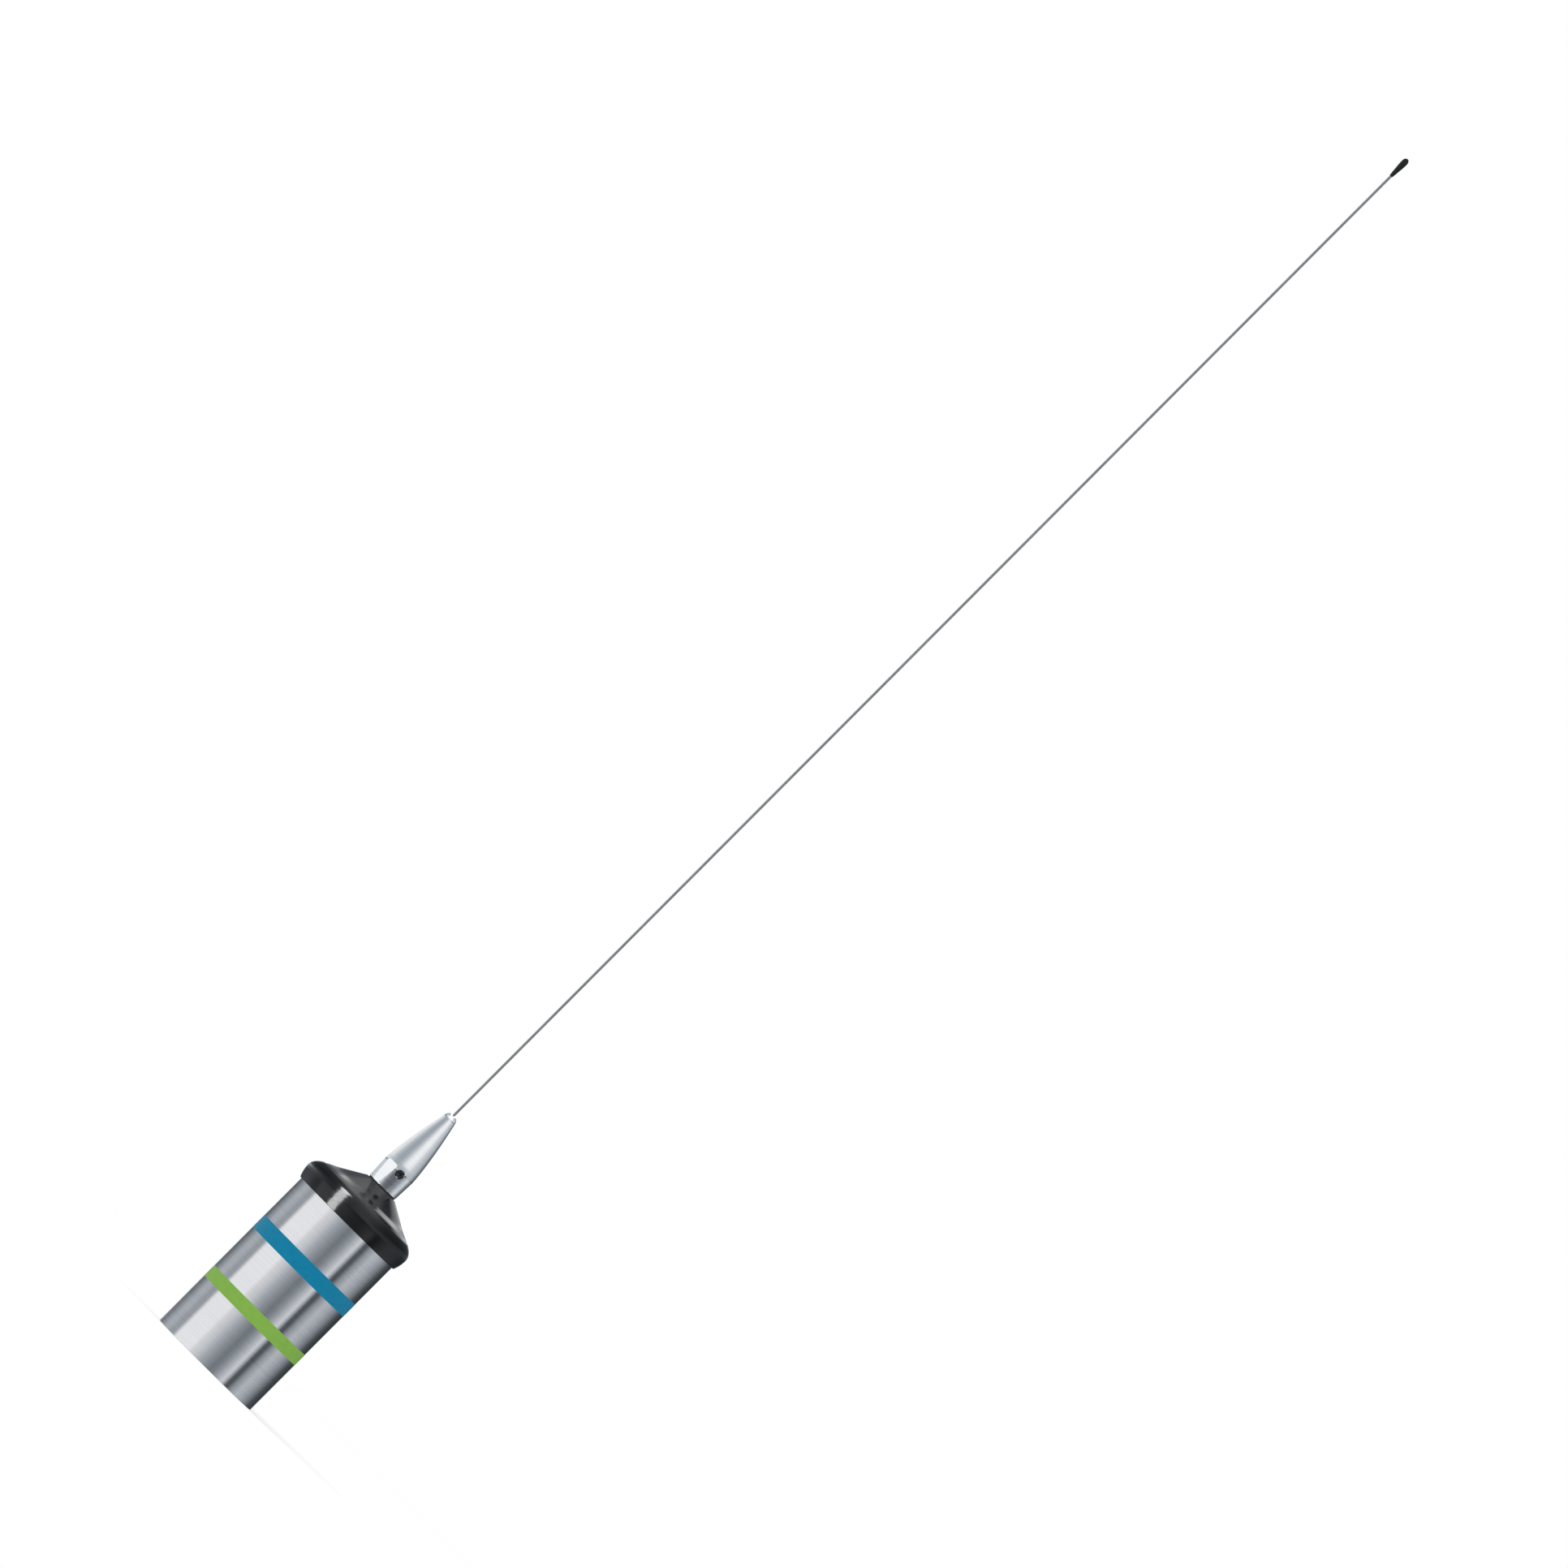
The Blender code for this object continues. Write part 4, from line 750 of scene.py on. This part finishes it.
for make in (
    make_tube, make_cap, make_seals, make_plug, make_bush, make_socket, make_socket_core,
    make_terminal, make_washer, make_ferrule, make_set_screw, make_whip, make_tip,
):
    make()

# CAD nodes that keep their shape take the real finish.
kept = {
    "socket_gasket": nitrile,
    **{f"flange_screw_{index}": tumbled_stainless for index in (1, 2, 3, 4)},
    "ground_lug": tinned_brass,
    "coil_former": filled_nylon,
    "coil_winding": enamelled_copper,
    "feed_lead": silicone_sleeve,
    "matching_capacitor": dipped_ceramic,
    "terminal_tag": tinned_brass,
    "terminal_washer": tumbled_stainless,
    "terminal_nut": turned_brass,
}
for name, finish_of in kept.items():
    for material_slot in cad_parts[name].material_slots:
        material_slot.material = finish_of


studio_gain = 3.0  # ramps hold a light level divided by this, because they stop at 1


def level(value):
    """A light level as a ramp colour, cooler where it is darker."""
    cool = min(max((1.1 - value) / 0.9, 0), 1)
    tint = (0.985 - 0.1 * cool, 0.99, 1 + 0.1 * cool)
    return (*[value * part / studio_gain for part in tint], 1)


# The studio that gloss sees, by direction alone. A direction is named by the face in which a look
# along +Y, a little downward, sees it: `turn` is that face's angle to the right of the lens,
# doubled, and `rise` is its tilt up from the vertical, both in degrees. Each set of soft boxes and
# flags is a list of (turn, level), and takes over from the set before it between two rises.
upright_boxes = [  # the strips on the tube
    (-180, 0.08), (-150, 0.19), (-132, 0.44), (-120, 0.63), (-109, 0.64), (-97, 0.5), (-89, 0.53),
    (-80, 1.27), (-42, 1.27), (-36, 1.06), (-23, 0.87), (-12, 0.62), (0, 0.43), (12, 0.29),
    (18, 0.34), (23, 0.42), (29, 0.56), (36, 0.78), (43, 1.0), (48, 0.6), (53, 0.14), (59, 0.13),
    (68, 0.45), (75, 0.59), (83, 0.74), (91, 0.68), (99, 0.59), (109, 0.45), (120, 0.29),
    (132, 0.12), (150, 0.05)]
body_boxes = [  # the ferrule's body, which leans out a little at the top: dark from the front
    (-180, 0.7), (-130, 0.8), (-85, 0.95), (-40, 0.9), (-20, 0.32), (-10, 0.18), (0, 0.16),
    (15, 0.15), (30, 0.14), (40, 0.19), (53, 0.35), (74, 0.66), (96, 0.9), (111, 0.5),
    (126, 0.24), (150, 0.15)]
neck_boxes = [  # where that body turns into its taper
    (-180, 0.9), (-118, 0.9), (-89, 0.72), (-59, 0.56), (-37, 0.54), (-12, 0.58), (12, 0.6),
    (25, 0.62), (45, 0.78), (59, 0.72), (99, 0.62), (116, 0.4), (134, 0.16), (180, 0.12)]
taper_boxes = [  # the ferrule's taper, which leans in by about 10 degrees
    (-180, 0.9), (-150, 1.05), (-118, 1.02), (-89, 0.7), (-74, 0.58), (-59, 0.49), (-37, 0.5),
    (-18, 0.69), (-6, 0.88), (6, 1.1), (25, 1.2), (45, 1.08), (59, 0.87), (74, 0.74), (99, 0.6),
    (116, 0.38), (134, 0.2), (180, 0.15)]
edge_boxes = [  # rounded edges that lean in by about 20 degrees
    (-140, 0.2), (-100, 0.45), (-60, 0.5), (-35, 0.9), (-14, 0.8), (0, 1.0), (24, 1.1), (40, 0.6),
    (60, 0.45), (100, 0.4), (140, 0.2)]
shoulder_boxes = [  # the cap's shoulder: dark, with a little light from the front
    (-140, 0.08), (-100, 0.12), (-60, 0.3), (-40, 1.0), (-14, 0.8), (0, 1.0), (24, 1.0),
    (44, 0.5), (60, 0.2), (100, 0.1), (140, 0.1)]
cone_boxes = [  # the cap's cone: a dark flag to the right of its middle
    (-140, 0.25), (-128, 0.28), (-100, 0.6), (-80, 1.3), (-42, 2.0), (-20, 1.7), (0, 1.2),
    (20, 0.9), (36, 0.3), (42, 0.0), (74, 0.0), (84, 0.7), (96, 1.3), (128, 1.5)]
foot_boxes = [  # the hollow near the cone's foot, which lies flatter
    (-116, 0.5), (-100, 0.9), (-86, 2.6), (-66, 1.9), (-48, 1.3), (-32, 1.2), (-16, 0.9),
    (0, 1.2), (16, 1.4), (32, 2.6), (48, 2.95), (80, 2.95), (100, 2.0), (116, 1.2), (152, 0.5)]
studio = [  # the rises between which each set takes over
    (-2.8, -2.4, body_boxes), (-1.1, -0.7, upright_boxes), (1.2, 2.2, neck_boxes),
    (4, 5.5, taper_boxes), (13, 17, edge_boxes), (24, 30, shoulder_boxes),
    (59.0, 59.9, cone_boxes), (61.3, 62.9, foot_boxes)]


def make_world():
    """White where the camera looks past the antenna, an even level for matt surfaces, and for gloss
    the studio of soft boxes and flags. With (x, y, z) the direction, turn is 2 atan(x / (1 - y))
    and rise is atan(z / length of (x, 1 - y)), with the look's slope downward added to z. Close to
    +Y, where turn jumps from one end to the other, the studio is one grey."""
    slope, even_level, grey, grey_from, grey_full = 0.014, 0.72, 0.45, 0.96, 0.99
    over_one = 1.00001  # a little over 1, so that straight along +Y isn't atan2(0, 0)
    world = bpy.data.worlds.new("studio")
    bpy.context.scene.world = world
    world.use_nodes = True
    # The levels differ by kind of ray, which only rays that leave a surface can tell apart.
    world.cycles.sampling_method = "NONE"
    tree = world.node_tree
    tree.nodes.clear()
    x, y, z = add(tree, "SeparateXYZ", {0: add(tree, "TexCoord").outputs["Generated"]}).outputs
    back = add(tree, "Math", {0: over_one, 1: y}, operation="SUBTRACT")
    half_turn = add(tree, "Math", {0: x, 1: back}, operation="ARCTAN2")
    place = add(tree, "MapRange", {0: half_turn, 1: -math.pi / 2, 2: math.pi / 2})
    across = add(tree, "CombineXYZ", {0: x, 1: back})
    reach = add(tree, "VectorMath", {0: across}, operation="LENGTH").outputs["Value"]
    lifted = add(tree, "Math", {0: z, 1: slope}, operation="ADD")
    rise = add(tree, "Math", {0: lifted, 1: reach}, operation="ARCTAN2")
    view = None
    for start, full, boxes_seen in [(-180, -179, upright_boxes), *studio]:
        stops = [((turn + 180) / 360, level(value)) for turn, value in boxes_seen]
        ramp = add(tree, "ValToRGB", {0: place}, stops).outputs[0]
        share = add(tree, "MapRange", {0: rise, 1: math.radians(start), 2: math.radians(full)})
        view = ramp if view is None else add(
            tree, "Mix", {0: share, 6: view, 7: ramp}, data_type="RGBA").outputs[2]
    behind = add(tree, "MapRange", {0: y, 1: grey_from, 2: grey_full})
    view = add(tree, "Mix", {0: behind, 6: view, 7: level(grey)}, data_type="RGBA").outputs[2]
    gloss = add(tree, "Background", {"Color": view, "Strength": studio_gain})
    even = add(tree, "Background", {"Color": (1, 1, 1, 1), "Strength": even_level})
    white = add(tree, "Background", {"Color": (1, 1, 1, 1), "Strength": 1.0})
    rays = add(tree, "LightPath").outputs
    seen = {0: rays["Is Camera Ray"], 1: rays["Is Transmission Ray"]}
    past = add(tree, "Math", seen, operation="MAXIMUM")
    lit = add(tree, "MixShader", {0: rays["Is Glossy Ray"], 1: even, 2: gloss})
    lit = add(tree, "MixShader", {0: past, 1: lit, 2: white})
    add(tree, "OutputWorld", {"Surface": lit})


def make_lamp(
    name, place, aim, along, width, height, light, only_on=None, shape="RECTANGLE"
):
    """A soft box of this light level at `place`, facing `aim`, its height along `along`, all in
    metres. It lights matt surfaces only, because gloss has the studio. With `only_on`, it lights
    that piece's gloss instead, and nothing else."""
    back = (Vector(place) - Vector(aim)).normalized()
    side = Vector(along).cross(back).normalized()
    lamp = bpy.data.lights.new(name, "AREA")
    lamp.shape, lamp.size, lamp.size_y = shape, width, height
    lamp.energy = light * math.pi * width * height * (1 if shape == "RECTANGLE" else math.pi / 4)
    made = bpy.data.objects.new(name, lamp)
    bpy.context.scene.collection.objects.link(made)
    turned_to = Matrix((side, back.cross(side), back)).transposed().to_4x4()
    made.matrix_world = Matrix.Translation(place) @ turned_to
    made.visible_camera = False
    made.visible_glossy, made.visible_diffuse = only_on is not None, only_on is None
    if only_on:
        pieces = bpy.data.collections.new("lit_by_" + name)
        pieces.objects.link(bpy.data.objects[only_on])
        made.light_linking.receiver_collection = pieces


def mirrored(turn, rise):
    """The direction in which the face of this turn and rise mirrors a look along +Y."""
    a, b = math.radians(turn / 2), math.radians(rise)
    face = Vector((math.sin(a) * math.cos(b), -math.cos(a) * math.cos(b), math.sin(b)))
    return Vector((0, 1, 0)).reflect(face)


def make_lamps():
    """A key from the upper left and a fill from the right. An arch of strips on the left puts the
    clear highlight down the cap's rim, and a disc overhead lights the ferrule's nose."""
    up = (0, 0, 1)
    make_lamp("key", (-1.6, -2.2, 2.2), (0, 0, 0.3), up, 1.8, 1.8, 2.55)
    make_lamp("fill", (2.4, -1.6, 1.2), (0, 0, 0.3), up, 1.6, 1.6, 1.0)
    make_lamp("nose_box", (0, 0.9, 1.39), (0, 0.9, 0), (0, 1, 0), 5.2, 5.2, 0.5,
              "chromed_ferrule", "ELLIPSE")
    rim = Vector((-12.8, -34.6, 115)) * MM
    left, right, distance, strip_level = -48.5, -31.0, 1.2, 20
    rises = (-24, -8, 8, 26, 46)
    for index, (low, high) in enumerate(zip(rises, rises[1:])):
        bottom, top = (rim + distance * mirrored((left + right) / 2, rise) for rise in (low, high))
        middle, span = (bottom + top) / 2, top - bottom
        rise = (low + high) / 2
        width = (mirrored(left, rise) - mirrored(right, rise)).length
        width *= (middle - rim).length
        make_lamp(f"rim_strip_{index}", middle, rim, span, width, span.length, strip_level,
                  "moulded_cap")


def make_floor():
    """A plain pale disc under the base. It keeps the shadow, and reads as white beyond it; from
    below it is clear, so that the underside can be seen."""
    radius, drop, sides, paint_level, glow_level = 1500, 0.1, 96, 0.8, 0.36
    finish_of = bpy.data.materials.new("painted_studio_floor")
    finish_of.use_nodes = True
    tree = finish_of.node_tree
    tree.nodes.clear()
    paint = add(tree, "BsdfDiffuse", {"Color": (paint_level, paint_level, paint_level, 1)})
    rays = add(tree, "LightPath").outputs
    glow = add(tree, "Emission", {"Color": (1, 1, 1, 1), "Strength": glow_level})
    none = add(tree, "Emission", {"Color": (0, 0, 0, 1), "Strength": 0.0})
    glow = add(tree, "MixShader", {0: rays["Is Camera Ray"], 1: none, 2: glow})
    front = add(tree, "AddShader", {0: paint, 1: glow})
    clear = add(tree, "BsdfTransparent")
    side = add(tree, "NewGeometry").outputs["Backfacing"]
    surface = add(tree, "MixShader", {0: side, 1: front, 2: clear})
    add(tree, "OutputMaterial", {"Surface": surface})
    a = np.arange(sides) * math.tau / sides
    points = np.stack([radius * np.cos(a), radius * np.sin(a), np.full(sides, -drop)], 1)
    mesh = bpy.data.meshes.new("floor")
    mesh.from_pydata((points * MM).tolist(), [], [list(range(sides))])
    mesh.materials.append(finish_of)
    floor = bpy.data.objects.new("floor", mesh)
    bpy.context.scene.collection.objects.link(floor)
    floor.visible_glossy = False
    floor.visible_diffuse = False


def make_camera():
    """Looks level along +Y, rolled so that the antenna leans up to the right at 45 degrees."""
    lean, view_width = math.radians(45.066), 0.8418
    aim, lens, sensor = Vector((-0.0002, 0, 0.4404)), 1000, 36
    across = Vector((math.sin(lean), 0, math.cos(lean)))
    upward = Vector((-math.cos(lean), 0, math.sin(lean)))
    towards = Vector((0, -1, 0))
    data = bpy.data.cameras.new("camera")
    data.lens, data.sensor_width = lens, sensor
    data.clip_start, data.clip_end = 1, 100
    camera = bpy.data.objects.new("camera", data)
    bpy.context.scene.collection.objects.link(camera)
    camera.location = aim + towards * view_width / (sensor / lens)
    camera.rotation_euler = Matrix((across, upward, towards)).transposed().to_euler()
    bpy.context.scene.camera = camera


make_world()
make_lamps()
make_floor()
make_camera()
bpy.context.scene.view_settings.view_transform = "Standard"
